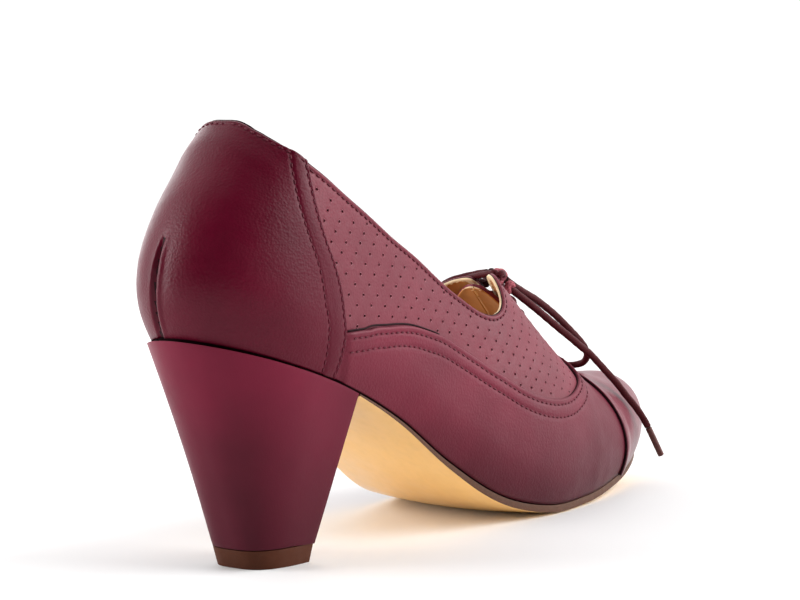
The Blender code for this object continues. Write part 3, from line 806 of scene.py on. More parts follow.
class NodeTrees:
    """Geometry node trees for what repeats along a line or at points."""

    def __init__(self) -> None:
        """Build both trees."""
        self.stitches = self._stitch_row()
        self.rings = self._rings_at_points()

    @staticmethod
    def _tree(name: str, sizes: dict[str, float]) -> tuple[NodeTree, Node, Node]:
        """Empty tree with a geometry, named sizes and a material as inputs.

        Args:
            name: The tree's name.
            sizes: Default of each size, in metres.

        Returns:
            The tree, its input node and its output node.
        """
        tree = bpy.data.node_groups.new(name, "GeometryNodeTree")
        tree.interface.new_socket("Geometry", in_out="INPUT", socket_type="NodeSocketGeometry")
        for label, value in sizes.items():
            socket = tree.interface.new_socket(label, in_out="INPUT", socket_type="NodeSocketFloat")
            socket.default_value = value
        tree.interface.new_socket("Material", in_out="INPUT", socket_type="NodeSocketMaterial")
        tree.interface.new_socket("Geometry", in_out="OUTPUT", socket_type="NodeSocketGeometry")
        return tree, tree.nodes.new("NodeGroupInput"), tree.nodes.new("NodeGroupOutput")

    @staticmethod
    def _facing(tree: NodeTree, rotation: NodeSocket | None, pivot: str) -> NodeSocket:
        """Rotation whose Z follows the surface's normal, kept in the attribute lie.

        Args:
            tree: The tree.
            rotation: Rotation to start from.
            pivot: Axis to turn about.

        Returns:
            The rotation socket.
        """
        lie = tree.nodes.new("GeometryNodeInputNamedAttribute")
        lie.data_type = "FLOAT_VECTOR"
        lie.inputs["Name"].default_value = "lie"
        upright = tree.nodes.new("FunctionNodeAlignRotationToVector")
        upright.axis = "Z"
        upright.pivot_axis = pivot
        tree.links.new(lie.outputs["Attribute"], upright.inputs["Vector"])
        if rotation is not None:
            tree.links.new(rotation, upright.inputs["Rotation"])
        return upright.outputs["Rotation"]

    @staticmethod
    def _finish(tree: NodeTree, points: NodeSocket, shape: NodeSocket,
                rotation: NodeSocket, start: Node, end: Node) -> None:
        """Instance a shape on points, realize it and give it its material.

        Args:
            tree: The tree.
            points: The points.
            shape: The shape.
            rotation: How it lies.
            start: Input node.
            end: Output node.
        """
        instance, realize, shade, paint = (tree.nodes.new(f"GeometryNode{kind}") for kind in (
            "InstanceOnPoints", "RealizeInstances", "SetShadeSmooth", "SetMaterial"))
        for socket, name in ((points, "Points"), (shape, "Instance"), (rotation, "Rotation")):
            tree.links.new(socket, instance.inputs[name])
        join_nodes(tree, (instance, "Instances", realize, "Geometry"),
                   (realize, "Geometry", shade, "Geometry"), (shade, "Geometry", paint, "Geometry"),
                   (start, "Material", paint, "Material"), (paint, "Geometry", end, "Geometry"))

    def _stitch_row(self) -> NodeTree:
        """Tree that lays stitches along lines.

        Returns:
            The tree.
        """
        sizes = {"Pitch": 2.4 * MM, "Length": 1.7 * MM, "Thickness": 0.55 * MM}
        tree, start, end = self._tree("stitch_row", sizes)
        line = tree.nodes.new("GeometryNodeMeshToCurve")
        even = tree.nodes.new("GeometryNodeResampleCurve")
        even.mode = "LENGTH"
        thread = tree.nodes.new("GeometryNodeMeshUVSphere")
        set_inputs(thread, {"Segments": 6, "Rings": 5, "Radius": 0.5})
        size = tree.nodes.new("ShaderNodeCombineXYZ")
        shape = tree.nodes.new("GeometryNodeTransform")
        along = tree.nodes.new("FunctionNodeAlignRotationToVector")
        along.axis = "X"
        tangent = tree.nodes.new("GeometryNodeInputTangent")
        join_nodes(tree, (start, "Geometry", line, "Mesh"), (line, "Curve", even, "Curve"),
                   (start, "Pitch", even, "Length"), (start, "Length", size, "X"),
                   (start, "Thickness", size, "Y"), (start, "Thickness", size, "Z"),
                   (thread, "Mesh", shape, "Geometry"), (size, "Vector", shape, "Scale"),
                   (tangent, "Tangent", along, "Vector"))
        rotation = self._facing(tree, along.outputs["Rotation"], "X")
        self._finish(tree, even.outputs["Curve"], shape.outputs["Geometry"], rotation, start, end)
        return tree

    def _rings_at_points(self) -> NodeTree:
        """Tree that sets a rolled ring on each point.

        Returns:
            The tree.
        """
        tree, start, end = self._tree("rings_at_points", {"Ring": 0.7 * MM, "Wire": 0.14 * MM})
        circle = tree.nodes.new("GeometryNodeCurvePrimitiveCircle")
        circle.inputs["Resolution"].default_value = 10
        wire = tree.nodes.new("GeometryNodeCurvePrimitiveCircle")
        wire.inputs["Resolution"].default_value = 4
        sweep = tree.nodes.new("GeometryNodeCurveToMesh")
        join_nodes(tree, (start, "Ring", circle, "Radius"), (start, "Wire", wire, "Radius"),
                   (circle, "Curve", sweep, "Curve"), (wire, "Curve", sweep, "Profile Curve"))
        rotation = self._facing(tree, None, "AUTO")
        self._finish(tree, start.outputs["Geometry"], sweep.outputs["Mesh"], rotation, start, end)
        return tree

    def grow(self, name: str, tree: NodeTree, lines: list[tuple[Array, Array]], joined: bool,
             material: Material, **sizes: float) -> Object:
        """Run a tree on lines or points and keep its result as a plain mesh.

        Args:
            name: The piece's name.
            tree: Which tree.
            lines: Points in the last's millimetres, with their surface normals.
            joined: Whether each set of points is a line.
            material: Finish of the result.
            sizes: Values of the tree's inputs, in millimetres.

        Returns:
            The new piece.
        """
        points = np.concatenate([line for line, _ in lines])
        normals = np.concatenate([lie for _, lie in lines])
        edges, start = [], 0
        for line, _ in lines:
            if joined:
                edges += [(start + i, start + i + 1) for i in range(len(line) - 1)]
            start += len(line)
        mesh = bpy.data.meshes.new(name)
        mesh.from_pydata(to_row(points), edges, [])
        mesh.attributes.new("lie", "FLOAT_VECTOR", "POINT").data.foreach_set("vector", normals.ravel())
        obj = add_object(name, mesh)
        grow = obj.modifiers.new(tree.name, "NODES")
        grow.node_group = tree
        keys = {item.name: item.identifier for item in tree.interface.items_tree if item.in_out == "INPUT"}
        for label, value in sizes.items():
            grow[keys[label.capitalize()]] = value * MM
        grow[keys["Material"]] = material
        return apply_modifiers(obj)


@dataclass
class Stitching:
    """Rows of stitches gathered from all pieces, then grown as one piece."""

    pitch: float = 2.45
    length: float = 1.75
    thickness: float = 0.62
    lines: list = field(default_factory=list)

    def row(self, at: Array, phi: Array, side: Side, depth: Array) -> None:
        """Add a row along places on the last at a depth."""
        at, phi = np.asarray(at, float), np.asarray(phi, float)
        self.lines.append((LAST.skin(at, phi, side, depth), LAST.normal(at, phi, side)))

    def build(self, name: str, trees: NodeTrees, thread: Material) -> None:
        """Grow all rows in one thread."""
        obj = trees.grow(name, trees.stitches, self.lines, True, thread, pitch=self.pitch,
                         length=self.length, thickness=self.thickness)
        place(obj, "waxed_lace")


@dataclass
class Layer:
    """A leather piece laid on the last, measured in from its worked edge."""

    palette: Palette
    stitching: Stitching
    base: float = 1.3           # outer face above the skin
    under: float = -0.55        # inner face
    edge_radius: float = 0.7
    seam_rows: tuple[tuple[float, ...], ...] = ()   # each row's distance from the edge, spread along it
    seam_depth: float = 0.28
    seam_width: float = 1.15
    stitch_rise: float = 0.10   # stitches above the seam's bottom
    inner_lift: float = 0.0     # inner face raised along the edge, over what it covers
    near_rows: tuple[float, ...] = (
        0.0, 0.12, 0.3, 0.55, 0.9, 1.3, 1.7, 2.1, 2.5, 3.0, 3.6, 4.3, 5.0, 5.6, 6.1, 6.6, 7.2, 8.0)
    far_rows: int = 22
    far_power: float = 1.0      # above 1 packs the far rows towards the far side
    columns: int = 150

    def spot(self, u: Array, w: Array, side: Side) -> tuple[Array, Array]:
        """Place on the last, which each piece gives in its own way.

        Args:
            u: Place along the worked edge, from 0 to 1.
            w: From the edge (0) to the far side (1).
            side: Which side.

        Returns:
            at and phi.
        """
        raise NotImplementedError

    def swell(self, at: Array, phi: Array, inset: Array, side: Side) -> Array:
        """Extra height of the outer face, besides its edge and seams.

        Args:
            at: Place along the last.
            phi: Place round the section.
            inset: Distance in from the edge.
            side: Which side.

        Returns:
            The height, in millimetres.
        """
        return np.zeros_like(at)

    def lengths(self, u: Array, side: Side) -> tuple[Array, Array]:
        """Distance in from the edge along each column.

        Args:
            u: Places along the edge.
            side: Which side.

        Returns:
            Shares w, and the distances there for each u.
        """
        w = np.linspace(0, 1, 60)
        at, phi = self.spot(u[:, None], w[None, :], side)
        steps = np.linalg.norm(np.diff(LAST.point(at, phi, side), axis=1), axis=2)
        return w, np.concatenate([np.zeros((len(u), 1)), np.cumsum(steps, axis=1)], axis=1)

    def inset_share(self, u: Array, distance: Array, side: Side) -> Array:
        """Share w at a distance in from the edge, in millimetres."""
        w, run = self.lengths(u, side)
        return np.stack([np.interp(d, r, w) for d, r in zip(distance, run)])

    def seam_inset(self, row: tuple[float, ...], u: Array) -> Array:
        """Distance of a seam from the edge at places along it."""
        return np.interp(u, np.linspace(0, 1, len(row)), row)

    def outer_depth(self, u: Array, at: Array, phi: Array, inset: Array, side: Side) -> Array:
        """Depth of the outer face: a rounded edge and a dip along each seam."""
        depth = self.base + self.swell(at, phi, inset, side) - rounded(inset, self.edge_radius)
        for row in self.seam_rows:
            depth = depth - self.seam_depth * trough(inset - self.seam_inset(row, u), self.seam_width)
        return depth

    def inner_depth(self, at: Array, phi: Array, inset: Array) -> Array:
        """Depth of the inner face."""
        return self.under + self.inner_lift * (1 - ease(inset, 3.6, 5.2))

    def folded(self, at: Array, phi: Array, side: Side) -> Array:
        """True where the rim is folded over, and so has the outer face's finish."""
        return np.zeros(at.shape, bool)

    def surface(self, side: Side) -> tuple[Array, Array, Array]:
        """Grid of places and their distance in from the edge.

        Args:
            side: Which side.

        Returns:
            at, phi and inset, each as (column, row).
        """
        u = np.linspace(0, 1, self.columns)
        w, run = self.lengths(u, side)
        share = 1 - (1 - np.linspace(0, 1, self.far_rows + 1)[None, 1:]) ** self.far_power
        last_near = np.minimum(self.near_rows[-1], 0.55 * run[:, -1:])
        near = np.array(self.near_rows)[None, :] / self.near_rows[-1] * last_near
        inset = np.concatenate([near, last_near + (run[:, -1:] - last_near) * share], axis=1)
        shares = np.stack([np.interp(d, r, w) for d, r in zip(inset, run)])
        at, phi = self.spot(np.broadcast_to(u[:, None], shares.shape), shares, side)
        return at, phi, inset

    def mesh(self, name: str, leather: Material) -> Object:
        """Closed layer over both sides, raw on its inner face and cut edge.

        Args:
            name: The piece's name.
            leather: Finish of the outer face.

        Returns:
            The new object.
        """
        draft = MeshDraft()
        for side in Side:
            at, phi, inset = self.surface(side)
            u = np.linspace(0, 1, self.columns)[:, None]
            outer = LAST.skin(at, phi, side, self.outer_depth(u, at, phi, inset, side))
            inner = LAST.skin(at, phi, side, self.inner_depth(at, phi, inset))
            draft.grid(outer, 0, 0)
            draft.grid(inner, 1, 1)
            draft.pair(outer, inner)
            draft.rim_slots.update((draft.spot(point, 0), 0) for point in outer[self.folded(at, phi, side)])
        draft.close_rims(2)
        return draft.build(name, [leather, self.palette.raw, self.palette.raw])

    def sew(self, first: float, last: float) -> None:
        """Lay a row of stitches along each seam.

        Args:
            first: Where on the edge they start.
            last: Where they end.
        """
        for side in Side:
            u = np.linspace(first, last, 200)
            for row in self.seam_rows:
                inset = self.seam_inset(row, u)
                share = self.inset_share(u, inset[:, None], side)[:, 0]
                at, phi = self.spot(u, share, side)
                depth = self.outer_depth(u, at, phi, inset, side)
                self.stitching.row(at, phi, side, depth + self.stitch_rise)


UPPER_EDGE = np.array([
    (0.000, 0.487, 0.000), (0.005, 0.476, 0.005), (0.016, 0.463, 0.016), (0.032, 0.451, 0.032),
    (0.055, 0.440, 0.055), (0.090, 0.425, 0.090), (0.148, 0.414, 0.148), (0.210, 0.413, 0.210),
    (0.270, 0.417, 0.270), (0.334, 0.438, 0.330), (0.380, 0.457, 0.375), (0.420, 0.475, 0.412),
    (0.456, 0.494, 0.445), (0.483, 0.516, 0.468), (0.505, 0.544, 0.487), (0.525, 0.582, 0.505),
    (0.540, 0.626, 0.522), (0.551, 0.675, 0.538), (0.563, 0.748, 0.556), (0.575, 0.812, 0.574),
    (0.588, 0.864, 0.590), (0.604, 0.895, 0.606), (0.624, 0.912, 0.624), (0.646, 0.924, 0.645),
    (0.668, 0.936, 0.666), (0.686, 0.952, 0.684), (0.694, 0.976, 0.699), (0.697, 1.000, 0.712),
    (0.711, 1.000, 0.725), (0.727, 1.000, 0.738), (0.746, 1.000, 0.754), (0.766, 1.000, 0.770),
    (0.806, 1.000, 0.808), (0.852, 1.000, 0.852), (0.895, 1.000, 0.895), (0.935, 1.000, 0.935),
    (0.968, 1.000, 0.968), (0.990, 1.000, 0.990), (1.000, 1.000, 1.000),
])
THROAT = 27                     # row of the edge where the two sides meet at the throat
MEDIAL_EASE = np.array([
    (0.000, 0.000, 0.000), (0.005, 0.000, -0.013), (0.016, 0.000, -0.022), (0.032, 0.000, -0.020),
    (0.055, 0.000, -0.011), (0.090, 0.000, 0.000), (0.300, 0.000, 0.000), (0.334, 0.0005, 0.009),
    (0.380, 0.001, 0.018), (0.420, 0.002, 0.026), (0.456, 0.007, 0.035), (0.483, 0.010, 0.039),
    (0.505, 0.013, 0.040), (0.525, 0.0165, 0.037), (0.540, 0.019, 0.032), (0.563, 0.0215, 0.023),
    (0.575, 0.0195, 0.004), (0.588, 0.0135, -0.022), (0.604, 0.0035, -0.058), (0.624, -0.004, -0.074),
    (0.646, -0.006, -0.066), (0.668, -0.004, -0.046), (0.686, -0.002, -0.023), (0.697, 0.000, 0.000),
])


def upper_edge(side: Side) -> Array:
    """Upper edge of one side.

    Args:
        side: Which side.

    Returns:
        Rows of at, phi and foot.
    """
    edge = UPPER_EDGE.copy()
    if side is Side.MEDIAL:
        edge[:, 0] += np.interp(UPPER_EDGE[:, 0], MEDIAL_EASE[:, 0], MEDIAL_EASE[:, 1])
        edge[:, 1] -= np.interp(UPPER_EDGE[:, 0], MEDIAL_EASE[:, 0], MEDIAL_EASE[:, 2])
    return edge


def topline(at: Array, side: Side) -> Array:
    """Height phi of one side's topline over the heel."""
    edge = upper_edge(side)[:9]
    return smooth(edge[:, 0], edge[:, 1], at)


def along_edge(rows: Array, u: Array) -> Array:
    """Smooth values of an edge table at shares u of its rows."""
    knots = np.linspace(0, 1, len(rows))
    return np.stack([smooth(knots, column, u) for column in np.asarray(rows, float).T], -1)


@dataclass
class Vamp(Layer):
    """Vamp and side foxing, folded along its top edge and sewn down with two rows."""

    base: float = 1.3
    seam_rows: tuple[tuple[float, ...], ...] = ((2.0,), (6.1,))
    columns: int = 190
    foot_phi: float = 0.010
    rear_lift: float = 0.5
    edge: tuple[Triple, ...] = (
        (0.165, 0.146, 0.150), (0.187, 0.178, 0.176), (0.223, 0.220, 0.213), (0.260, 0.246, 0.253),
        (0.296, 0.275, 0.292), (0.334, 0.305, 0.332), (0.372, 0.335, 0.371), (0.414, 0.355, 0.412),
        (0.452, 0.369, 0.451), (0.492, 0.381, 0.491), (0.535, 0.387, 0.533), (0.579, 0.399, 0.575),
        (0.623, 0.421, 0.615), (0.664, 0.458, 0.652), (0.700, 0.520, 0.686), (0.723, 0.585, 0.710),
        (0.733, 0.650, 0.726), (0.739, 0.715, 0.742), (0.743, 0.785, 0.756), (0.746, 0.860, 0.769),
        (0.748, 0.930, 0.781), (0.749, 1.000, 0.793), (0.768, 1.000, 0.814), (0.784, 1.000, 0.832),
        (0.802, 1.000, 0.850),
    )
    # Flex creases over the ball: at and phi of both ends, width and depth in millimetres
    creases: tuple[tuple[float, float, float, float, float, float], ...] = (
        (0.700, 0.12, 0.716, 0.40, 8.0, 0.10), (0.672, 0.10, 0.684, 0.34, 9.0, 0.10),
        (0.735, 0.16, 0.748, 0.46, 7.0, 0.08), (0.480, 0.10, 0.500, 0.30, 11.0, 0.16),
    )

    def spot(self, u: Array, w: Array, side: Side) -> tuple[Array, Array]:
        """Place on the last, from the folded edge down to the sole."""
        row = along_edge(self.edge, u)
        at = row[..., 0] * (1 - w) + row[..., 2] * w
        return at, np.minimum(row[..., 1], 1.0) * (1 - w) + self.foot_phi * w

    def swell(self, at: Array, phi: Array, inset: Array, side: Side) -> Array:
        """Puff between the seams, thinner where the counter overlaps it, and creases."""
        lift = 0.16 * trough(inset - 4.0, 4.0) - 0.8 * ease(-at, -0.190, -0.180)
        lift = lift + self.rear_lift * (1 - ease(inset, 0.8, 4.5)) * (1 - ease(at, 0.26, 0.40))
        here = LAST.point(at, phi, side)
        for at0, phi0, at1, phi1, width, depth in self.creases:
            run = LAST.point(np.linspace(at0, at1, 12), np.linspace(phi0, phi1, 12), side)
            away = np.min(np.linalg.norm(here[..., None, :] - run, axis=-1), axis=-1)
            lift = lift - depth * (trough(away, width) - 0.45 * trough(away - 0.8 * width, width))
        return lift

    def inner_depth(self, at: Array, phi: Array, inset: Array) -> Array:
        """Depth of the inner face, clear of the quarter along the rear of the edge."""
        return self.under + 2 * self.rear_lift * (1 - ease(inset, 1.0, 2.6)) * (1 - ease(at, 0.26, 0.40))

    def build(self) -> None:
        """Make and sew the vamp."""
        place(self.mesh("vamp_leather", self.palette.vamp), "vamp_leather", "vamp")
        self.sew(0.055, 0.86)
        # A thin dark cord just above the rear of the vamp's edge is a painted shadow line between vamp and
        # quarter.
        rows = along_edge(self.edge, np.linspace(0.04, 0.24, 30))
        depth = np.linspace(0.3, -0.1, 30)
        routes = [LAST.skin(rows[:, 0], rows[:, 1] + 0.0035, side, depth) for side in Side]
        place(Lacing.tube("vamp_edge_painted_shadow", routes, 0.28, self.palette.raw, sides=8, step=1.2, braid=0.0),
              "vamp_leather")


TOE_SEAM_FOOT, TOE_SEAM_RIDGE = 0.834, 0.786


@dataclass
class ToeCap(Layer):
    """Toe cap over the front of the vamp, with a thick turned edge."""

    base: float = 1.6
    edge_radius: float = 0.35
    inner_lift: float = 1.90
    columns: int = 90
    far_rows: int = 60
    foot_phi: float = 0.010
    edge_lift: float = 0.85

    def spot(self, u: Array, w: Array, side: Side) -> tuple[Array, Array]:
        """Place on the last, from the seam to the toe tip."""
        phi = self.foot_phi + (1 - self.foot_phi) * u
        seam = TOE_SEAM_FOOT + (TOE_SEAM_RIDGE - TOE_SEAM_FOOT) * phi
        phi = np.broadcast_to(phi, np.broadcast_shapes(np.shape(u), np.shape(w)))
        return 1 - (1 - seam) * (1 - w) ** 2 * np.ones_like(phi), phi

    def swell(self, at: Array, phi: Array, inset: Array, side: Side) -> Array:
        """Thickened rear edge."""
        return self.edge_lift * (1 - ease(inset, 1.2, 7.5))

    def build(self) -> None:
        """Make the cap."""
        place(self.mesh("toe_cap_leather", self.palette.cap), "cap_leather", "toe_cap")


@dataclass
class Counter(Layer):
    """Counter round the heel, sewn along its front edge, with a closed dart at the centre back."""

    base: float = 1.6
    seam_rows: tuple[tuple[float, ...], ...] = ((1.2,), (6.6, 8.4, 9.2, 8.8, 7.6, 5.8))
    near_rows: tuple[float, ...] = (
        0.0, 0.12, 0.3, 0.55, 0.8, 1.0, 1.2, 1.45, 1.75, 2.2, 2.9, 3.8, 4.8, 5.4, 5.9, 6.4, 6.9, 7.4,
        7.9, 8.4, 8.9, 9.4, 10.0, 11.0)
    columns: int = 130
    far_rows: int = 74
    far_power: float = 1.8
    foot_phi: float = 0.010
    edge: tuple[Pair, ...] = (
        (0.169, 0.010), (0.178, 0.085), (0.182, 0.160), (0.178, 0.218), (0.167, 0.257), (0.150, 0.287),
        (0.130, 0.313), (0.107, 0.348), (0.086, 0.389), (0.072, 0.427),
    )
    dart_top: float = 0.280
    dart_lean: Pair = (4.0, 1.5)     # dart's distance to the medial side at its foot and top
    dart_depth: float = 1.4
    top_seam: float = 1.2       # topline stitches below the top edge

    def spot(self, u: Array, w: Array, side: Side) -> tuple[Array, Array]:
        """Place on the last, from the front edge round to the centre back."""
        u, w = np.broadcast_arrays(u, w)
        front = along_edge(self.edge, u)
        across = 1 - w
        at = front[..., 0] * across ** 2
        top_at, top_phi = self.edge[-1]
        reach = min(top_phi / float(topline(np.array([top_at]), side)[0]), 1.0)
        front_share = np.minimum(front[..., 1] / topline(front[..., 0], side) / reach, 1.0)
        back_share = self.foot_phi / topline(np.zeros_like(u), side) * (1 - u) + u
        share = back_share * (1 - across) + front_share * across
        return at, share * topline(at, side)

    def dart_place(self, phi: Array) -> Array:
        """Distance of the dart from the centre back, to the medial side."""
        return np.interp(phi, (0.0, self.dart_top), self.dart_lean)

    def dart_width(self, phi: Array) -> Array:
        """Share of the dart's full width, narrowing to its top."""
        return 0.60 + 0.40 * ease(self.dart_top - phi, 0.0, 0.08)

    def swell(self, at: Array, phi: Array, inset: Array, side: Side) -> Array:
        """Rounded topline with its seam, a soft bulge between the front seams, and the dart."""
        below = (topline(at, side) - phi) * HEEL_GIRTH
        lift = -rounded(below, 0.8) - 0.16 * trough(below - self.top_seam, 1.0)
        near_back = 1 - ease(at, 0.02, 0.06) if side is Side.LATERAL else 1 - ease(at, 0.05, 0.09)
        lift = lift - 1.1 * (1 - ease(below, 0.0, 9.0)) * near_back
        lift = lift + 0.20 * trough(inset - 4.4, 4.6)
        away = LAST.point(at, phi, side)[..., 1] - self.dart_place(phi)
        shut = ease(-phi, -self.dart_top, -self.dart_top + 0.05) * (0.4 + 0.6 * ease(phi, 0.02, 0.06))
        wide = self.dart_width(phi)
        sunk = ease(away, -0.10, 0.30) * (1 - ease(away / wide, 1.9, 3.0))
        lip = 0.38 * trough(away + 0.75, 1.8)
        return lift + shut * (lip - self.dart_depth * sunk)

    def build(self) -> None:
        """Make and sew the counter."""
        obj = self.mesh("counter_leather", self.palette.counter)
        # Faces in the dart's recess get the dark raw finish as painted shade.
        self.paint_dart_shade(obj)
        place(obj, "counter_leather", "counter")
        self.sew(0.02, 0.95)
        for side in Side:
            at = np.linspace(0.0005, 0.066, 120)
            phi = topline(at, side) - self.top_seam / HEEL_GIRTH
            depth = self.base + self.swell(at, phi, np.full(at.shape, 20.0), side)
            self.stitching.row(at, phi, side, depth + 0.07)
        phi = np.linspace(0.02, self.dart_top - 0.015, 80)
        near = self.beside_back(phi, self.dart_place(phi) + 0.9)
        self.stitching.row(near, phi, Side.MEDIAL, self.base - 1.15)

    def folded(self, at: Array, phi: Array, side: Side) -> Array:
        """True along the topline, where the leather is turned over."""
        return topline(at, side) - phi < 0.001

    def paint_dart_shade(self, obj: Object) -> None:
        """Give the dark raw finish to the faces inside the dart, as painted shade in its recess.

        Args:
            obj: The counter.
        """
        rise = np.linspace(0, self.dart_top, 60)
        heights = LAST.point(np.zeros_like(rise), rise, Side.MEDIAL)[:, 2]
        for polygon in obj.data.polygons:
            x, y, z = np.array(polygon.center) / MM - ROW_SHIFT
            phi = np.interp(z, heights, rise)
            away = (y - self.dart_place(phi)) / self.dart_width(phi)
            if polygon.material_index == 0 and x < 20.0 and z < heights[-1] - 2.0 and 0.0 < away < 2.2:
                polygon.material_index = 1

    @staticmethod
    def beside_back(phi: Array, away: Array) -> Array:
        """Place along the last that lies a distance beside the centre back, on the medial side."""
        at = np.linspace(0, 0.03, 300)
        reach = LAST.point(at[:, None], phi[None, :], Side.MEDIAL)[..., 1]
        return np.array([np.interp(d, column, at) for d, column in zip(away, reach.T)])


def distance_to_line(points: Array, line: Array) -> Array:
    """Shortest distance from flat points to a polyline.

    Args:
        points: The flat points.
        line: The polyline.

    Returns:
        One distance for each point.
    """
    best = np.full(len(points), np.inf)
    for a, b in zip(line, line[1:]):
        run = b - a
        t = np.clip(((points - a) @ run) / max(run @ run, 1e-12), 0, 1)
        best = np.minimum(best, np.linalg.norm(points - (a + t[:, None] * run), axis=1))
    return best


def inward(line: Array) -> Array:
    """Unit vectors in the flat, to the right of a line's run."""
    run = np.gradient(line, axis=0)
    return np.stack([run[:, 1], -run[:, 0]], -1) / np.linalg.norm(run, axis=1, keepdims=True)


def inside_outline(points: Array, outline: Array) -> Array:
    """True for flat points inside a closed outline.

    Args:
        points: The flat points.
        outline: The outline.

    Returns:
        One truth for each point.
    """
    inside = np.zeros(len(points), bool)
    for a, b in zip(outline, np.roll(outline, -1, axis=0)):
        crosses = (a[1] > points[:, 1]) != (b[1] > points[:, 1])
        x = a[0] + (points[:, 1] - a[1]) / (b[1] - a[1] + 1e-15) * (b[0] - a[0])
        inside ^= crosses & (points[:, 0] < x)
    return inside


class FlatPattern:
    """One side of the last laid out flat: x along the foot, and girth height up the section."""

    def __init__(self, side: Side) -> None:
        """Tabulate the girth over the side.

        Args:
            side: Which side.
        """
        self.side = side
        self.at = np.linspace(0.0, 0.84, 500)
        self.phi = np.linspace(0.0, 1.0, 400)
        points = LAST.point(self.at[:, None], self.phi[None, :], side)
        steps = np.linalg.norm(np.diff(points[..., 1:], axis=1), axis=2)
        self.girth = np.concatenate([points[:, :1, 2], points[:, :1, 2] + np.cumsum(steps, axis=1)], axis=1)

    def flatten(self, at: Array, phi: Array) -> Array:
        """Flat points of places on the last."""
        x = LAST.point(at, phi, self.side)[..., 0]
        height = [np.interp(p, self.phi, self._column(a)) for a, p in zip(at, phi)]
        return np.stack([x, np.array(height)], -1)

    def raise_up(self, flat: Array) -> tuple[Array, Array]:
        """Places on the last of flat points.

        Args:
            flat: The flat points.

        Returns:
            Their at and phi.
        """
        at = flat[:, 0] / LAST.length
        for _ in range(4):
            phi = np.array([np.interp(h, self._column(a), self.phi) for a, h in zip(at, flat[:, 1])])
            at = at + (flat[:, 0] - LAST.point(at, phi, self.side)[:, 0]) / LAST.length
        return at, phi

    def _column(self, at: float) -> Array:
        """Girth heights up the section at one place."""
        k = np.clip(at / self.at[-1] * (len(self.at) - 1), 0, len(self.at) - 1.001)
        i = int(k)
        return self.girth[i] * (1 - (k - i)) + self.girth[i + 1] * (k - i)


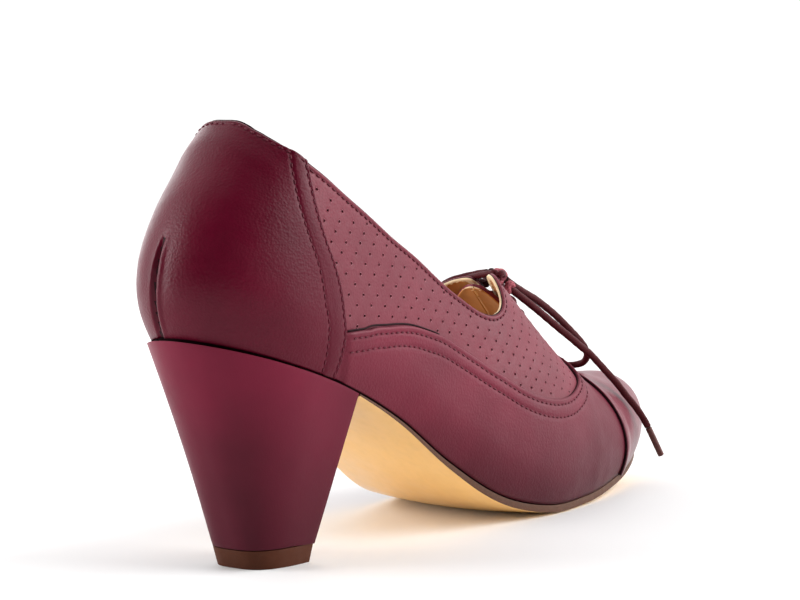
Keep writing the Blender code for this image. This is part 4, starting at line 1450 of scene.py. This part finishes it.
@dataclass
class Quarter:
    """Perforated quarters with their tabs and facings, cut from one flat pattern on each side."""

    palette: Palette
    stitching: Stitching
    trees: NodeTrees
    vamp: Vamp              # covers the quarters' foot
    counter: Counter        # covers their rear
    thickness: float = 0.60
    hole_radius: float = 0.36
    lip_shift: Pair = (0.06, -0.06)      # lips stand out towards the toe and the floor, which puts their painted highlight on that side of each hole
    lip_sink: float = 0.05      # middle of a lip's wire below the leather's face
    hole_sides: int = 10
    # Square lattice with a hole in the middle of each square, stretched where the leather is pulled
    lattice_start: Pair = (93.9, 67.1)
    lattice_along: Pair = (6.17, -1.02)
    lattice_across: Pair = (0.0, -6.2)
    stretch_along: Pair = (-0.045, -0.03)
    stretch_across: Pair = (-0.33, 0.0)
    edge_margin: float = 2.5
    seam_margin: float = 0.9
    top_seam: float = 1.55
    edge_radius: float = 0.6
    rear: tuple[Pair, ...] = (
        (0.150, 0.150), (0.152, 0.200), (0.135, 0.250), (0.105, 0.300), (0.076, 0.350), (0.058, 0.395),
        (0.047, 0.430),
    )
    under_vamp: float = 5.0
    edge_girth: float = 90.0    # millimetres to one phi, for even points along the edge
    edge_rows: tuple[float, ...] = (0.1, 0.25, 0.45, 0.8, 1.1, 1.35, 1.6, 1.9, 2.4, 3.1)
    # Rings of points round a hole: share of its radius, and how far the leather is pressed in there
    hole_rings: tuple[Pair, ...] = ((1.0, 0.22), (1.5, 0.06), (2.3, 0.0))

    def build(self) -> None:
        """Cut, punch and sew both quarters."""
        draft = MeshDraft()
        rims = []
        for side in Side:
            rims.append(self.cut(draft, side))
            self.sew(side)
        draft.close_rims(1)
        obj = draft.build("quarter_leather", [self.palette.quarter, self.palette.raw])
        place(obj, "quarter_leather", "upper")
        # Rolled rings round the holes, in a lighter colour that is a painted highlight.
        lips = self.trees.grow("punched_lips", self.trees.rings, rims, False, self.palette.lip,
                               ring=self.hole_radius + 0.20, wire=0.12)
        place(lips, "quarter_leather")

    def edge_line(self, side: Side, count: int = 420) -> Array:
        """Topline, tab and facing of one side, as places at and phi."""
        edge = upper_edge(side)[4:THROAT + 1, :2].copy()
        edge[-1, 1] = 0.992
        size = (LAST.length, self.edge_girth)
        return resample(edge * size, count) / size

    def sew(self, side: Side) -> None:
        """One row of stitches along the topline, tab and facing.

        Args:
            side: Which side.
        """
        flat = FlatPattern(side)
        line = flat.flatten(*self.edge_line(side, 260).T)
        row = line + inward(line) * self.top_seam
        row = row[distance_to_line(row, line) > self.top_seam - 0.15]
        row = resample(row[::6], 200)
        at, phi = flat.raise_up(row)
        self.stitching.row(at, phi, side, -0.02)

    def holes(self, outline: Array, edge: Array, vamp_line: Array, counter_line: Array) -> Array:
        """Centres of the punched holes, in the flat.

        Args:
            outline: The quarter's outline.
            edge: Its free edge.
            vamp_line: The vamp's edge on it.
            counter_line: The counter's edge on it.

        Returns:
            The centres.
        """
        index = np.arange(-24, 25)
        i, j = (v.ravel()[:, None].astype(float) for v in np.meshgrid(index, index))
        i, j = np.concatenate([i, i + 0.5]), np.concatenate([j, j + 0.5])
        along, across = np.array(self.lattice_along), np.array(self.lattice_across)
        spots = (np.array(self.lattice_start) + i * along + j * across
                 + i ** 2 * np.array(self.stretch_along) + j ** 2 * np.array(self.stretch_across))
        spots = spots[inside_outline(spots, outline)]
        keep = distance_to_line(spots, edge) > self.edge_margin
        keep &= distance_to_line(spots, vamp_line) > self.seam_margin
        keep &= distance_to_line(spots, counter_line) > self.seam_margin
        shown = np.concatenate([vamp_line[::-1], counter_line, edge])
        return spots[keep & inside_outline(spots, shown)]

    def cut(self, draft: MeshDraft, side: Side) -> tuple[Array, Array]:
        """Cut one quarter in the flat, punch it and lay it on the last.

        Args:
            draft: Collects the mesh.
            side: Which side.

        Returns:
            The holes' centres on the last and the normals there.
        """
        flat = FlatPattern(side)
        edge = flat.flatten(*self.edge_line(side).T)
        u = np.linspace(0.05, 0.872, 240)
        vamp_line = flat.flatten(*self.vamp.spot(u, np.zeros_like(u), side))
        tucked = self.vamp.inset_share(u, np.full((len(u), 1), self.under_vamp), side)[:, 0]
        foot = flat.flatten(*self.vamp.spot(u, tucked, side))
        front = np.array(self.counter.edge)[2:]
        size = (LAST.length, HEEL_GIRTH)
        counter_line = flat.flatten(*(resample(front * size, 80) / size).T)
        rear = flat.flatten(*np.array(self.rear).T)
        outline = np.concatenate([edge, foot[::-1], resample(rear, 40)])
        gap = np.linalg.norm(np.diff(outline, axis=0), axis=1) > 0.15
        outline = outline[np.concatenate([[True], gap])]
        spots = self.holes(outline, edge, vamp_line, counter_line)

        ring = np.linspace(0, 2 * math.pi, self.hole_sides, endpoint=False)
        circle = np.stack([np.cos(ring), np.sin(ring)], -1)
        points, sinks, edges = [outline], [np.zeros(len(outline))], []
        edges += [(i, (i + 1) % len(outline)) for i in range(len(outline))]
        start = len(outline)
        for radius, sink in self.hole_rings:
            rings = (spots[:, None, :] + circle * radius * self.hole_radius).reshape(-1, 2)
            points.append(rings)
            sinks.append(np.full(len(rings), sink))
            if radius == 1.0:
                n = self.hole_sides
                edges += [(start + k * n + i, start + k * n + (i + 1) % n)
                          for k in range(len(spots)) for i in range(n)]
        filler = self.filler(outline, edge, spots)
        points.append(filler)
        sinks.append(np.zeros(len(filler)))
        points, sinks = np.concatenate(points), np.concatenate(sinks)
        verts, _, faces, source, _, _ = delaunay_2d_cdt([Vector(p) for p in points], edges, [], 1, 1e-5)
        verts = np.array([tuple(v) for v in verts])
        sink = np.array([sinks[group[0]] if group else 0.0 for group in source])
        middle = np.array([verts[list(face)].mean(axis=0) for face in faces])
        keep = inside_outline(middle, outline)
        for spot in spots:
            keep &= np.linalg.norm(middle - spot, axis=1) > 0.93 * self.hole_radius
        at, phi = flat.raise_up(verts)
        depth = self.outer_depth(distance_to_line(verts, edge)) - sink
        outer = LAST.skin(at, phi, side, depth)
        inner = LAST.skin(at, phi, side, -self.thickness)
        top = [draft.spot(point, 10 * side.value) for point in outer]
        base = [draft.spot(point, 10 * side.value + 1) for point in inner]
        for face, kept in zip(faces, keep):
            if kept:
                draft.face([top[i] for i in face], 0)
                draft.face([base[i] for i in reversed(face)], 1)
        draft.partner.update(zip(top, base))
        draft.rim_slots.update((top[i], 0) for i in np.flatnonzero(distance_to_line(verts, edge) < 0.01))
        at, phi = flat.raise_up(spots + self.lip_shift)
        return LAST.skin(at, phi, side, -self.lip_sink), LAST.normal(at, phi, side)

    def outer_depth(self, inset: Array) -> Array:
        """Depth of the outer face: a folded edge, then a dip along the seam."""
        fold = 0.20 * (1 - ease(inset, 0.9, 1.7))
        return fold - rounded(inset, self.edge_radius) - 0.20 * trough(inset - self.top_seam, 0.9)

    def filler(self, outline: Array, edge: Array, spots: Array) -> Array:
        """Points that fill the pattern: rows along the edge, then an even field.

        Args:
            outline: The quarter's outline.
            edge: Its free edge.
            spots: Centres of the holes.

        Returns:
            The points.
        """
        rows = []
        for inset in self.edge_rows:
            row = edge + inward(edge) * inset
            rows.append(row[distance_to_line(row, edge) > 0.97 * inset][::2])
        low, high = outline.min(axis=0), outline.max(axis=0)
        x, y = np.meshgrid(np.arange(low[0], high[0], 1.7), np.arange(low[1], high[1], 1.5))
        x[::2] += 0.85
        field_points = np.stack([x.ravel(), y.ravel()], -1)
        rows.append(field_points[distance_to_line(field_points, edge) > 3.6])
        points = np.concatenate(rows)
        points = points[inside_outline(points, outline)]
        points = points[distance_to_line(points, np.concatenate([outline, outline[:1]])) > 0.1]
        near = np.min(np.linalg.norm(points[:, None] - spots[None], axis=2), axis=1)
        return points[near > 2.8 * self.hole_radius]


@dataclass
class Lining:
    """Tan lining of the whole upper, whose pale edge stands just above the folded leather."""

    palette: Palette
    stitching: Stitching
    outer: float = -0.66
    inner: float = -1.8
    rise: float = 0.32          # above the folded edge of the quarter
    seam: float = 2.6           # stitches that show on the lining, below its edge
    heel_tuck: float = 1.2      # foot of the lining down into the heel's seat
    columns: int = 330
    rows: int = 34
    top_rows: tuple[float, ...] = (0.955, 0.97, 0.982, 0.991, 1.0)     # close together at the edge

    def build(self) -> None:
        """Make the lining and the stitches that show inside the opening."""
        draft = MeshDraft()
        for side in Side:
            edge = along_edge(upper_edge(side), np.linspace(0, 1, self.columns))
            behind = 1 - ease(edge[:, 0], 0.072, 0.085)
            edge[:, 1] = np.minimum(edge[:, 1], 1.0) * (1 - behind) + topline(edge[:, 0], side) * behind
            opening = ease(-edge[:, 0], -0.70, -0.69)
            share = np.concatenate([np.linspace(0, 0.93, self.rows), self.top_rows])[None, :]
            top_phi = edge[:, 1] + opening * self.rise / OPENING_GIRTH
            at = edge[:, 2:] * (1 - share) + edge[:, :1] * share
            phi = np.broadcast_to(top_phi[:, None] * share, at.shape)
            top = np.broadcast_to(share, at.shape) * opening[:, None]
            turned = 0.22 * ease(top, 0.985, 1.0)
            outer = LAST.skin(at, phi, side, self.outer - turned)
            inner = LAST.skin(at, phi, side, self.inner + turned)
            tuck = self.heel_tuck * (1 - ease(edge[:, 2], 0.06, 0.12))
            outer[:, 0, 2] -= tuck
            inner[:, 0, 2] -= tuck
            # The outer face takes the dark raw finish, as painted shade where it shows through the
            # quarter's perforations.
            draft.grid(outer, 1, 0)
            draft.grid(inner[:, :-3], 0, 1)
            draft.grid(inner[:, -4:], 2, 1)
            draft.pair(outer, inner)
            draft.rim_slots.update((draft.spot(p, 0), 2) for p in outer[:, -1])
            seam = (edge[:, 0] > 0.30) & (edge[:, 0] < 0.69)
            seam_phi = top_phi[seam] - self.seam / OPENING_GIRTH
            self.stitching.row(edge[seam, 0], seam_phi, side, self.inner - 0.05)
        draft.close_rims(1)
        finishes = [self.palette.lining, self.palette.raw, self.palette.binding]
        place(draft.build("upper_lining", finishes), "insole_leather")


@dataclass
class Tongue:
    """Tongue under the facings: leather outside, and a pale-edged lining inside."""

    palette: Palette
    stitching: Stitching
    drop: float = 2.4
    sag: float = 0.8
    sag_phi: float = 0.72
    thickness: float = 1.8
    top: float = 0.607
    edge: tuple[Pair, ...] = (
        (0.608, 0.945), (0.6125, 0.885), (0.621, 0.825), (0.637, 0.770), (0.656, 0.735), (0.682, 0.712),
        (0.715, 0.710), (0.750, 0.730),
    )
    columns: int = 100
    rows: int = 44
    leather: float = 0.8        # share of the top edge's roundness that is leather
    seam: int = 14              # row of the stitches on the lining

    def build(self) -> None:
        """Make the tongue with its lining stitched along the top."""
        draft = MeshDraft()
        u = np.linspace(0, 1, self.columns) ** 1.7
        edge = along_edge(self.edge, u)
        middle = (self.top + (self.edge[-1][0] - self.top) * u)[:, None]
        share = (np.linspace(0, 1, self.rows) ** 1.2)[None, :]
        for side in Side:
            at = edge[:, :1] * (1 - share) + middle * share
            phi = edge[:, 1:] * (1 - share) + share
            out = -self.drop - self.sag * ease(phi, self.sag_phi, 1.0)
            end = rounded(np.minimum(share * 14.0, (u * 34.0)[:, None]), 0.8)
            outer = LAST.skin(at, phi, side, out - self.leather * end)
            inner = LAST.skin(at, phi, side, out - self.thickness + 0.5 * end)
            draft.grid(outer, 0, 0)
            draft.grid(inner[self.seam - 6:], 1, 1)
            draft.grid(inner[:self.seam - 5], 2, 1)
            draft.pair(outer, inner)
            row = self.seam
            self.stitching.row(at[row], phi[row], side, out[row] - self.thickness - 0.05)
        draft.close_rims(0)
        finishes = [self.palette.tongue, self.palette.lining, self.palette.binding]
        place(draft.build("tongue_leather", finishes), "tongue_leather", "tongue")


@dataclass
class SoleUnit:
    """Outsole, insole, heel and top lift."""

    palette: Palette
    gap: float = 0.3
    edge: float = 2.6
    waist_edge: float = 0.9
    bulge: float = 1.8
    lip: float = 1.5
    heel_lip: float = 3.4
    breast: float = 0.215
    hollow: float = 1.2
    lift_height: float = 5.6
    tip: Triple = (15.4, 35.0, 12.2)
    tip_swing: float = -2.6
    tip_square: float = 0.65
    seat_dip: float = 0.25      # heel's top edge below the upper, at its middle
    insole_thickness: float = 1.7
    insole_inset: float = 2.2

    @staticmethod
    def block(levels: list[Array], slots: tuple[int, int, int]) -> MeshDraft:
        """Closed solid through stacked grids (station, across, xyz), lowest first.

        Args:
            levels: The grids.
            slots: Material index of the bottom, sides and top.

        Returns:
            The draft.
        """
        draft = MeshDraft()
        draft.grid(levels[0], slots[0])
        draft.grid(levels[-1], slots[2])
        for line in (np.s_[0, :], np.s_[-1, :], np.s_[:, 0], np.s_[:, -1]):
            draft.grid(np.stack([level[line] for level in levels]), slots[1])
        return draft

    def build_outsole(self) -> None:
        """Varnished outsole with a painted edge."""
        turn = np.linspace(0, 1, 150)
        at = self.breast + 0.002 + (1 - self.breast - 0.002) * np.sin(turn * math.pi / 2)
        outline = LAST.feather(at, self.lip)
        share = np.linspace(0, 1, 41)[None, :]
        top = self.filled(outline, 41)
        top[..., 2] = LAST.section("seat", at)[:, None] - self.gap
        bottom = top.copy()
        bulge = self.bulge * (1 - (2 * share - 1) ** 2)
        fore = np.clip((at[:, None] - self.breast) / 0.2, 0, 1) * np.clip((1 - at[:, None]) / 0.2, 0, 1)
        edge = np.interp(at, (self.breast, 0.45), (self.waist_edge, self.edge))[:, None]
        core = (self.edge - edge) * (1 - (2 * share - 1) ** 4)
        bottom[..., 2] = np.maximum(top[..., 2] + self.gap - edge - core - bulge * fore, 0.0)
        middle = 0.5 * (top + bottom)
        block = self.block([bottom, middle, top], (0, 1, 1))
        obj = block.build("outsole_leather", [self.palette.sole, self.palette.edge])
        place(bevel_edges(obj, 0.45), "sole_leather", "outsole")

    def build_insole(self) -> None:
        """Tan insole with a softened edge."""
        at = (1 - np.cos(np.linspace(0, math.pi, 150))) / 2
        outline = LAST.feather(at, -self.insole_inset)
        bottom = self.filled(outline, 31)
        bottom[..., 2] = LAST.section("seat", at)[:, None] + self.gap
        top = bottom.copy()
        dish = 1 - (2 * np.linspace(0, 1, 31) - 1) ** 2
        top[..., 2] += self.insole_thickness - 0.35 * dish
        block = self.block([bottom, top], (1, 1, 0))
        obj = block.build("insole_leather", [self.palette.insole, self.palette.raw])
        place(bevel_edges(obj, 0.4), "insole_leather", "insole")

    def heel_level(self, share: float) -> Array:
        """Outline of the heel at a share of its height.

        Args:
            share: From the floor (0) to the seat (1).

        Returns:
            Points as (station, side, xyz).
        """
        turn = np.linspace(0, math.pi / 2, 60)
        at = self.breast * (1 - np.cos(turn))
        seat = LAST.feather(at, self.heel_lip + (self.lip - self.heel_lip) * at / self.breast)
        dip = self.seat_dip * np.sin(2 * turn)
        seat[..., 2] = (LAST.section("seat", at) - self.gap - dip)[:, None]
        back, front, half = self.tip
        x = front - (front - back) * np.clip(np.cos(turn), 0, 1) ** self.tip_square
        width = half * np.sin(turn) ** self.tip_square
        tip = np.stack([np.stack([x, self.tip_swing + side.value * width, 0 * x], -1) for side in Side], 1)
        level = tip + (seat - tip) * share
        level[..., 0] += (self.hollow * math.sin(math.pi * share) * np.cos(turn))[:, None]
        return level

    def flat_level(self, height: float) -> Array:
        """Heel outline cut level at a height above the floor."""
        level = self.heel_level(height / (LAST.column("seat")[0] - self.gap))
        level[..., 2] = height
        return level

    @staticmethod
    def filled(level: Array, count: int = 13) -> Array:
        """Outline filled across with points."""
        share = np.linspace(0, 1, count)[None, :, None]
        return level[:, :1] * (1 - share) + level[:, 1:] * share

    def build_heel(self) -> None:
        """Covered block heel."""
        start = (self.lift_height + self.gap) / (LAST.column("seat")[0] - self.gap)
        levels = [self.filled(self.flat_level(self.lift_height + self.gap))]
        levels += [self.filled(self.heel_level(s)) for s in np.linspace(start, 1, 40)[1:]]
        obj = self.block(levels, (0, 0, 0)).build("heel_block", [self.palette.heel])
        place(bevel_edges(obj, 0.6), "heel_cover", "heel")

    def build_top_lift(self) -> None:
        """Rubber top lift."""
        levels = [self.filled(self.flat_level(h)) for h in (0.0, 1.9, 3.8, self.lift_height)]
        obj = self.block(levels, (0, 0, 0)).build("top_lift_rubber", [self.palette.lift])
        place(bevel_edges(obj, 0.35), "lift_rubber", "top_lift")

    def build(self) -> None:
        """Make all four pieces."""
        self.build_outsole()
        self.build_insole()
        self.build_heel()
        self.build_top_lift()


@dataclass
class Lacing:
    """Round lace: bars through the eyelets, the knot, two loops and two ends with sealed tips."""

    palette: Palette
    trees: NodeTrees
    radius: float = 1.25
    bar_radius: float = 1.15
    tip_radius: float = 1.1
    path_step: float = 1.5      # between the points of a cord's route
    eyelet_phi: float = 0.86
    # Lace through an eyelet: phi from the eyelet's middle, and depth
    through: tuple[Pair, ...] = ((-0.012, -1.2), (-0.004, 0.3), (0.014, 1.45))
    # Lateral at, phi of the lateral facing's edge, medial at, phi of the medial facing's edge
    bars: tuple[tuple[float, float, float, float], ...] = (
        (0.598, 0.890, 0.614, 0.940), (0.646, 0.935, 0.646, 0.965), (0.670, 0.945, 0.670, 0.965),
        (0.693, 0.958, 0.693, 0.970),
    )
    knot: Triple = (146.3, -4.5, 76.6)
    knot_below: Triple = (2.6, -2.6, -3.6)
    lateral_loop: tuple[Triple, ...] = (
        (150.3, -4.7, 75.6), (155.5, -5.0, 72.8), (160.9, -5.3, 70.3), (166.4, -5.4, 68.0),
        (171.9, -5.4, 65.3), (177.4, -5.3, 62.4), (182.8, -5.1, 59.3), (188.2, -4.8, 56.0),
        (193.9, -4.2, 52.7), (199.8, -3.4, 48.9), (204.6, -1.6, 45.2), (207.2, 1.6, 42.2),
        (206.8, 5.2, 41.0), (203.4, 7.8, 41.0), (198.8, 9.2, 41.8), (193.5, 9.6, 43.4),
        (186.5, 9.2, 46.4), (179.5, 8.2, 50.4), (172.4, 6.6, 55.8), (166.0, 4.6, 62.2),
        (160.6, 2.6, 68.2), (156.2, 0.9, 72.4), (152.6, -0.6, 74.8), (149.3, -1.8, 74.5),
    )
    lateral_end: tuple[Triple, ...] = (
        (148.1, -6.9, 73.6), (152.4, -8.2, 70.6), (157.3, -9.1, 67.5), (162.4, -9.8, 64.3),
        (167.5, -10.5, 61.0), (172.7, -11.1, 57.7), (177.9, -11.9, 54.4), (183.0, -12.7, 51.0),
        (188.2, -13.5, 47.7), (192.8, -14.3, 43.9), (197.2, -15.2, 40.0), (200.8, -16.6, 36.2),
        (203.4, -18.4, 32.2), (206.1, -20.2, 28.4), (208.4, -21.9, 24.5), (210.0, -23.4, 20.6),
    )
    lateral_tip: tuple[Triple, ...] = ((210.1, -23.5, 20.3), (214.0, -26.4, 10.2))
    medial_loop: tuple[Triple, ...] = (
        (144.9, -1.0, 78.0), (145.5, 2.2, 77.6), (145.5, 6.2, 76.8), (144.6, 10.2, 75.8),
        (143.4, 14.0, 74.4), (142.0, 18.2, 71.2), (140.9, 22.8, 67.6), (140.6, 27.4, 62.8),
        (140.8, 32.0, 56.6), (142.4, 36.2, 49.6), (146.2, 39.2, 43.4), (151.8, 40.0, 40.4),
        (156.6, 37.6, 42.6), (158.4, 33.0, 48.4), (157.4, 27.8, 55.0), (154.6, 22.4, 61.8),
        (151.6, 17.0, 68.0), (149.3, 11.8, 72.4), (147.9, 6.8, 74.4), (147.2, 2.8, 74.6),
        (146.2, -0.2, 74.0),
    )
    medial_end: tuple[Triple, ...] = (
        (148.2, -0.6, 78.1), (150.4, 1.6, 77.6), (153.0, 4.6, 75.8), (156.0, 8.8, 72.4),
        (158.8, 13.6, 67.6), (161.6, 18.8, 61.8), (164.2, 24.2, 55.0), (166.6, 29.2, 47.8),
        (168.8, 33.8, 41.0), (171.0, 37.8, 34.6), (172.8, 40.8, 28.2), (174.2, 42.6, 22.0),
    )
    medial_tip: tuple[Triple, ...] = ((174.3, 42.7, 21.7), (176.2, 43.6, 9.6))

    @staticmethod
    def tube(name: str, routes: list[Array], radius: float, material: Material, sides: int = 14,
             step: float = 0.55, braid: float = 0.05) -> Object:
        """Round cord along one or more routes, with a UV map in turns and girths.

        Args:
            name: The piece's name.
            routes: Points of each route in the last's millimetres.
            radius: Radius of the cord.
            material: Its finish.
            sides: Faces round the cord.
            step: Length of a face along it.
            braid: Share of the radius that the braid's strands stand out.

        Returns:
            The new object.
        """
        points, faces, coords = [], [], []
        for route in routes:
            line = resample(route, max(6, int(run_length(route) / step)))
            run = np.gradient(line, axis=0)
            run /= np.linalg.norm(run, axis=1, keepdims=True)
            normal = np.cross(run[0], (0.3, 0.9, 0.2))
            start, count = len(points), len(line)
            for i in range(count):
                normal = normal - run[i] * (normal @ run[i])
                normal /= np.linalg.norm(normal)
                across = np.cross(run[i], normal)
                for k in range(sides):
                    angle = 2 * math.pi * k / sides
                    twist = i * step / (radius * 1.1)
                    bulge = 1 + braid * (math.cos(3 * angle + twist) * math.cos(3 * angle - twist) - 0.5)
                    spot = normal * math.cos(angle) + across * math.sin(angle)
                    points.append(line[i] + spot * radius * bulge)
            for i in range(count - 1):
                for k in range(sides):
                    a, b = start + i * sides + k, start + i * sides + (k + 1) % sides
                    faces.append([a, b, b + sides, a + sides])
                    along, turn = i * step / (2 * math.pi * radius), step / (2 * math.pi * radius)
                    coords += [(along, k / sides), (along, (k + 1) / sides),
                               (along + turn, (k + 1) / sides), (along + turn, k / sides)]
            for ring in (list(range(start, start + sides))[::-1],
                         list(range(start + (count - 1) * sides, start + count * sides))):
                faces.append(ring)
                coords += [(0.0, 0.0)] * sides
        mesh = bpy.data.meshes.new(name)
        mesh.from_pydata(to_row(points), [], faces)
        mesh.uv_layers.new(name="UVMap").data.foreach_set("uv", np.array(coords, np.float32).ravel())
        mesh.polygons.foreach_set("use_smooth", [len(face) == 4 for face in faces])
        face_outward(mesh)
        mesh.materials.append(material)
        return add_object(name, mesh)

    def build_knot(self) -> Object:
        """Two turns of lace pulled tight round the crossing, and one turn below it.

        Returns:
            The knot.
        """
        turn = np.linspace(0, 2 * math.pi * 1.9, 40)
        spread = np.linspace(-1.7, 1.7, 40)
        wrap = np.stack([1.85 * np.cos(turn) + 0.25 * spread, spread, 1.75 * np.sin(turn)], -1)
        core = np.stack([np.linspace(-0.6, 0.6, 12), np.linspace(-3.0, 3.0, 12),
                         0.5 * np.sin(np.linspace(0, math.pi, 12))], -1)
        turn = turn[:24]
        below = np.stack([0.9 * np.cos(turn), np.linspace(-0.8, 0.8, 24), 1.3 * np.sin(turn)], -1)
        centre, low = np.array(self.knot), np.array(self.knot) + self.knot_below
        routes = [centre + wrap, centre + core, low + below]
        # The knot gets the lighter lace colour, a painted highlight.
        return self.tube("lace_knot_wrap", routes, self.radius, self.palette.painted_knot_highlight)

    def build_bars(self) -> None:
        """Lace across the gap, in and out of the eyelets, and the eyelets' rims."""
        routes, spots, lies = [], [], []
        for at, edge_phi, medial_at, medial_phi in self.bars:
            route = []
            for side, place_at, phi in ((Side.LATERAL, at, edge_phi), (Side.MEDIAL, medial_at, medial_phi)):
                half = [LAST.skin(place_at, self.eyelet_phi + shift, side, depth)
                        for shift, depth in self.through]
                half.append(LAST.skin(place_at, phi, side, 1.5))
                route += half if side is Side.LATERAL else half[::-1]
                spots.append(LAST.skin(place_at, self.eyelet_phi, side, 0.05))
                lies.append(LAST.normal(place_at, self.eyelet_phi, side))
            routes.append(np.array(route))
        top = LAST.skin(self.bars[0][0], self.eyelet_phi, Side.LATERAL, 1.45)
        knot = np.array(self.knot)
        routes.append(np.array([top, top + (1.4, -0.5, 0.9), knot + (-1.2, -3.0, 1.1),
                                knot + (0.2, -1.6, 0.4)]))
        obj = self.tube("lace_run", routes, self.bar_radius, self.palette.lace)
        place(obj, "waxed_lace", "lace_bars")
        eyelets = [(np.array(spots), np.array(lies))]
        rims = self.trees.grow("eyelet_rims", self.trees.rings, eyelets, False, self.palette.eyelet,
                               ring=1.45, wire=0.30)
        place(rims, "waxed_lace")

    def cord(self, route: Array) -> None:
        """Work out the points of a free stretch of lace, which are then not used.

        Args:
            route: Its points.
        """
        path = to_row(resample(route, int(run_length(route) / self.path_step)))

    def build(self) -> None:
        """Make the whole lace."""
        self.build_bars()
        knot = place(self.build_knot(), "waxed_lace", "lace_knot")
        for side, loop, end, tip in (
                ("lateral", self.lateral_loop, self.lateral_end, self.lateral_tip),
                ("medial", self.medial_loop, self.medial_end, self.medial_tip)):
            bow = self.tube(f"bow_{side}", [np.array(loop)], self.radius, self.palette.lace)
            place(bow, "waxed_lace", f"lace_loop_{side}")
            tail = self.tube(f"tail_{side}", [np.array(end)], self.radius, self.palette.lace)
            place(tail, "waxed_lace", f"lace_end_{side}")
            sealed = self.tube(f"tip_{side}", [resample(tip, 6)], self.tip_radius, self.palette.tip,
                               step=0.5, braid=0.0)
            place(bevel_edges(sealed, 0.25, 2), "lace_tip", f"aglet_{side}")
            self.cord(np.array(loop))
            self.cord(np.array(end))


@dataclass
class Studio:
    """Camera at the photograph's angle, a pale floor and soft lights."""

    azimuth: float = -52.22
    elevation: float = 4.77
    roll: float = -0.55
    distance: float = 738.7
    target: Triple = (100.25, 1.0, 72.0)
    lens: float = 104.5
    dim: float = 0.03
    bright: float = 1.10
    overhead: float = 0.4
    key: float = 3.9
    aim: Triple = (0, 0, 0.06)          # where the soft boxes point, in metres

    def camera(self) -> None:
        """Set the camera."""
        a, e = math.radians(self.azimuth), math.radians(self.elevation)
        back = Vector((math.sin(a) * math.cos(e), -math.cos(a) * math.cos(e), math.sin(e)))
        right = Vector((0, 0, 1)).cross(back).normalized()
        up = back.cross(right)
        r = math.radians(self.roll)
        right, up = right * math.cos(r) + up * math.sin(r), up * math.cos(r) - right * math.sin(r)
        data = bpy.data.cameras.new("photo_camera")
        data.lens = self.lens
        data.sensor_width = 36.0
        data.clip_start = 0.01
        camera = add_object("photo_camera", data)
        spot = (Vector(self.target) + Vector(ROW_SHIFT) + back * self.distance) * MM
        camera.matrix_world = Matrix.Translation(spot) @ Matrix((right, up, back)).transposed().to_4x4()
        bpy.context.scene.camera = camera

    def light(self, name: str, spot: Triple, size: Pair, power: float) -> None:
        """Add one soft box aimed at the shoe.

        Args:
            name: The light's name.
            spot: Where it stands, in metres.
            size: Its width and height, in metres.
            power: Its power, in watts.
        """
        data = bpy.data.lights.new(name, "AREA")
        data.shape = "RECTANGLE"
        data.size, data.size_y = size
        data.energy = power
        lamp = add_object(name, data)
        lamp.location = spot
        lamp.rotation_euler = (Vector(self.aim) - Vector(spot)).to_track_quat("-Z", "Y").to_euler()

    def floor(self) -> None:
        """Pale floor."""
        mesh = bpy.data.meshes.new("studio_floor")
        mesh.from_pydata([(-4, -4, 0), (4, -4, 0), (4, 4, 0), (-4, 4, 0)], [], [(0, 1, 2, 3)])
        obj = add_object("studio_floor", mesh)
        mesh.materials.append(Finish("studio_white", (0.84, 0.84, 0.84), 0.6).start()[0])

    def surroundings(self) -> None:
        """Room that is white behind the shoe and above it, and dim behind the camera."""
        world = bpy.data.worlds.new("studio_world")
        world.use_nodes = True
        tree = world.node_tree
        facing = tree.nodes.new("ShaderNodeVectorMath")
        facing.operation = "DOT_PRODUCT"
        angle = math.radians(self.azimuth)
        facing.inputs[1].default_value = (-math.sin(angle), math.cos(angle), 0.2)
        tree.links.new(tree.nodes.new("ShaderNodeTexCoord").outputs["Generated"], facing.inputs[0])
        shade = tree.nodes.new("ShaderNodeMapRange")
        shade.interpolation_type = "SMOOTHSTEP"
        set_inputs(shade, {"From Min": -0.15, "From Max": 0.55, "To Min": self.dim, "To Max": self.bright})
        tree.links.new(facing.outputs["Value"], shade.inputs["Value"])
        tree.nodes["Background"].inputs["Color"].default_value = (1.0, 1.0, 1.0, 1.0)
        tree.links.new(shade.outputs["Result"], tree.nodes["Background"].inputs["Strength"])
        bpy.context.scene.world = world

    @staticmethod
    def sun(name: str, towards: Triple, power: float, spread: float) -> None:
        """Add one large soft light that is the same over the whole floor.

        Args:
            name: The light's name.
            towards: Direction from the shoe to the light.
            power: Its strength.
            spread: Its width, in degrees.
        """
        data = bpy.data.lights.new(name, "SUN")
        data.energy = power
        data.angle = math.radians(spread)
        lamp = add_object(name, data)
        lamp.rotation_euler = Vector(towards).to_track_quat("Z", "Y").to_euler()

    def build(self) -> None:
        """Set camera, lights, floor and surrounding light."""
        bpy.context.scene.view_settings.view_transform = "Standard"
        self.camera()
        self.floor()
        self.surroundings()
        self.sun("soft_overhead", (0.35, 0.15, 1.0), self.overhead, 80.0)
        self.sun("key_right", (0.56, -0.66, 0.50), self.key, 55.0)
        self.light("rim_left", (0.40, 1.0, 0.40), (0.5, 0.8), 2.2)
        self.light("window_left", (-0.62, 0.66, 0.30), (0.5, 0.8), 10.0)


def main() -> None:
    """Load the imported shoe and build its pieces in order."""
    logging.basicConfig(level=logging.INFO, format="%(message)s")
    for obj in list(bpy.data.objects):
        bpy.data.objects.remove(obj, do_unlink=True)
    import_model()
    Studio().build()
    palette, trees = Palette(), NodeTrees()
    stitching, inside_stitching = Stitching(), Stitching(pitch=2.2, length=1.3, thickness=0.4)
    Lacing(palette, trees).build()
    vamp, counter = Vamp(palette, stitching), Counter(palette, stitching)
    Quarter(palette, stitching, trees, vamp, counter).build()
    vamp.build()
    counter.build()
    ToeCap(palette, stitching).build()
    Lining(palette, inside_stitching).build()
    Tongue(palette, inside_stitching).build()
    SoleUnit(palette).build()
    stitching.build("stitching", trees, palette.thread)
    inside_stitching.build("lining_stitching", trees, palette.pale_thread)


if __name__ == "__main__":
    main()
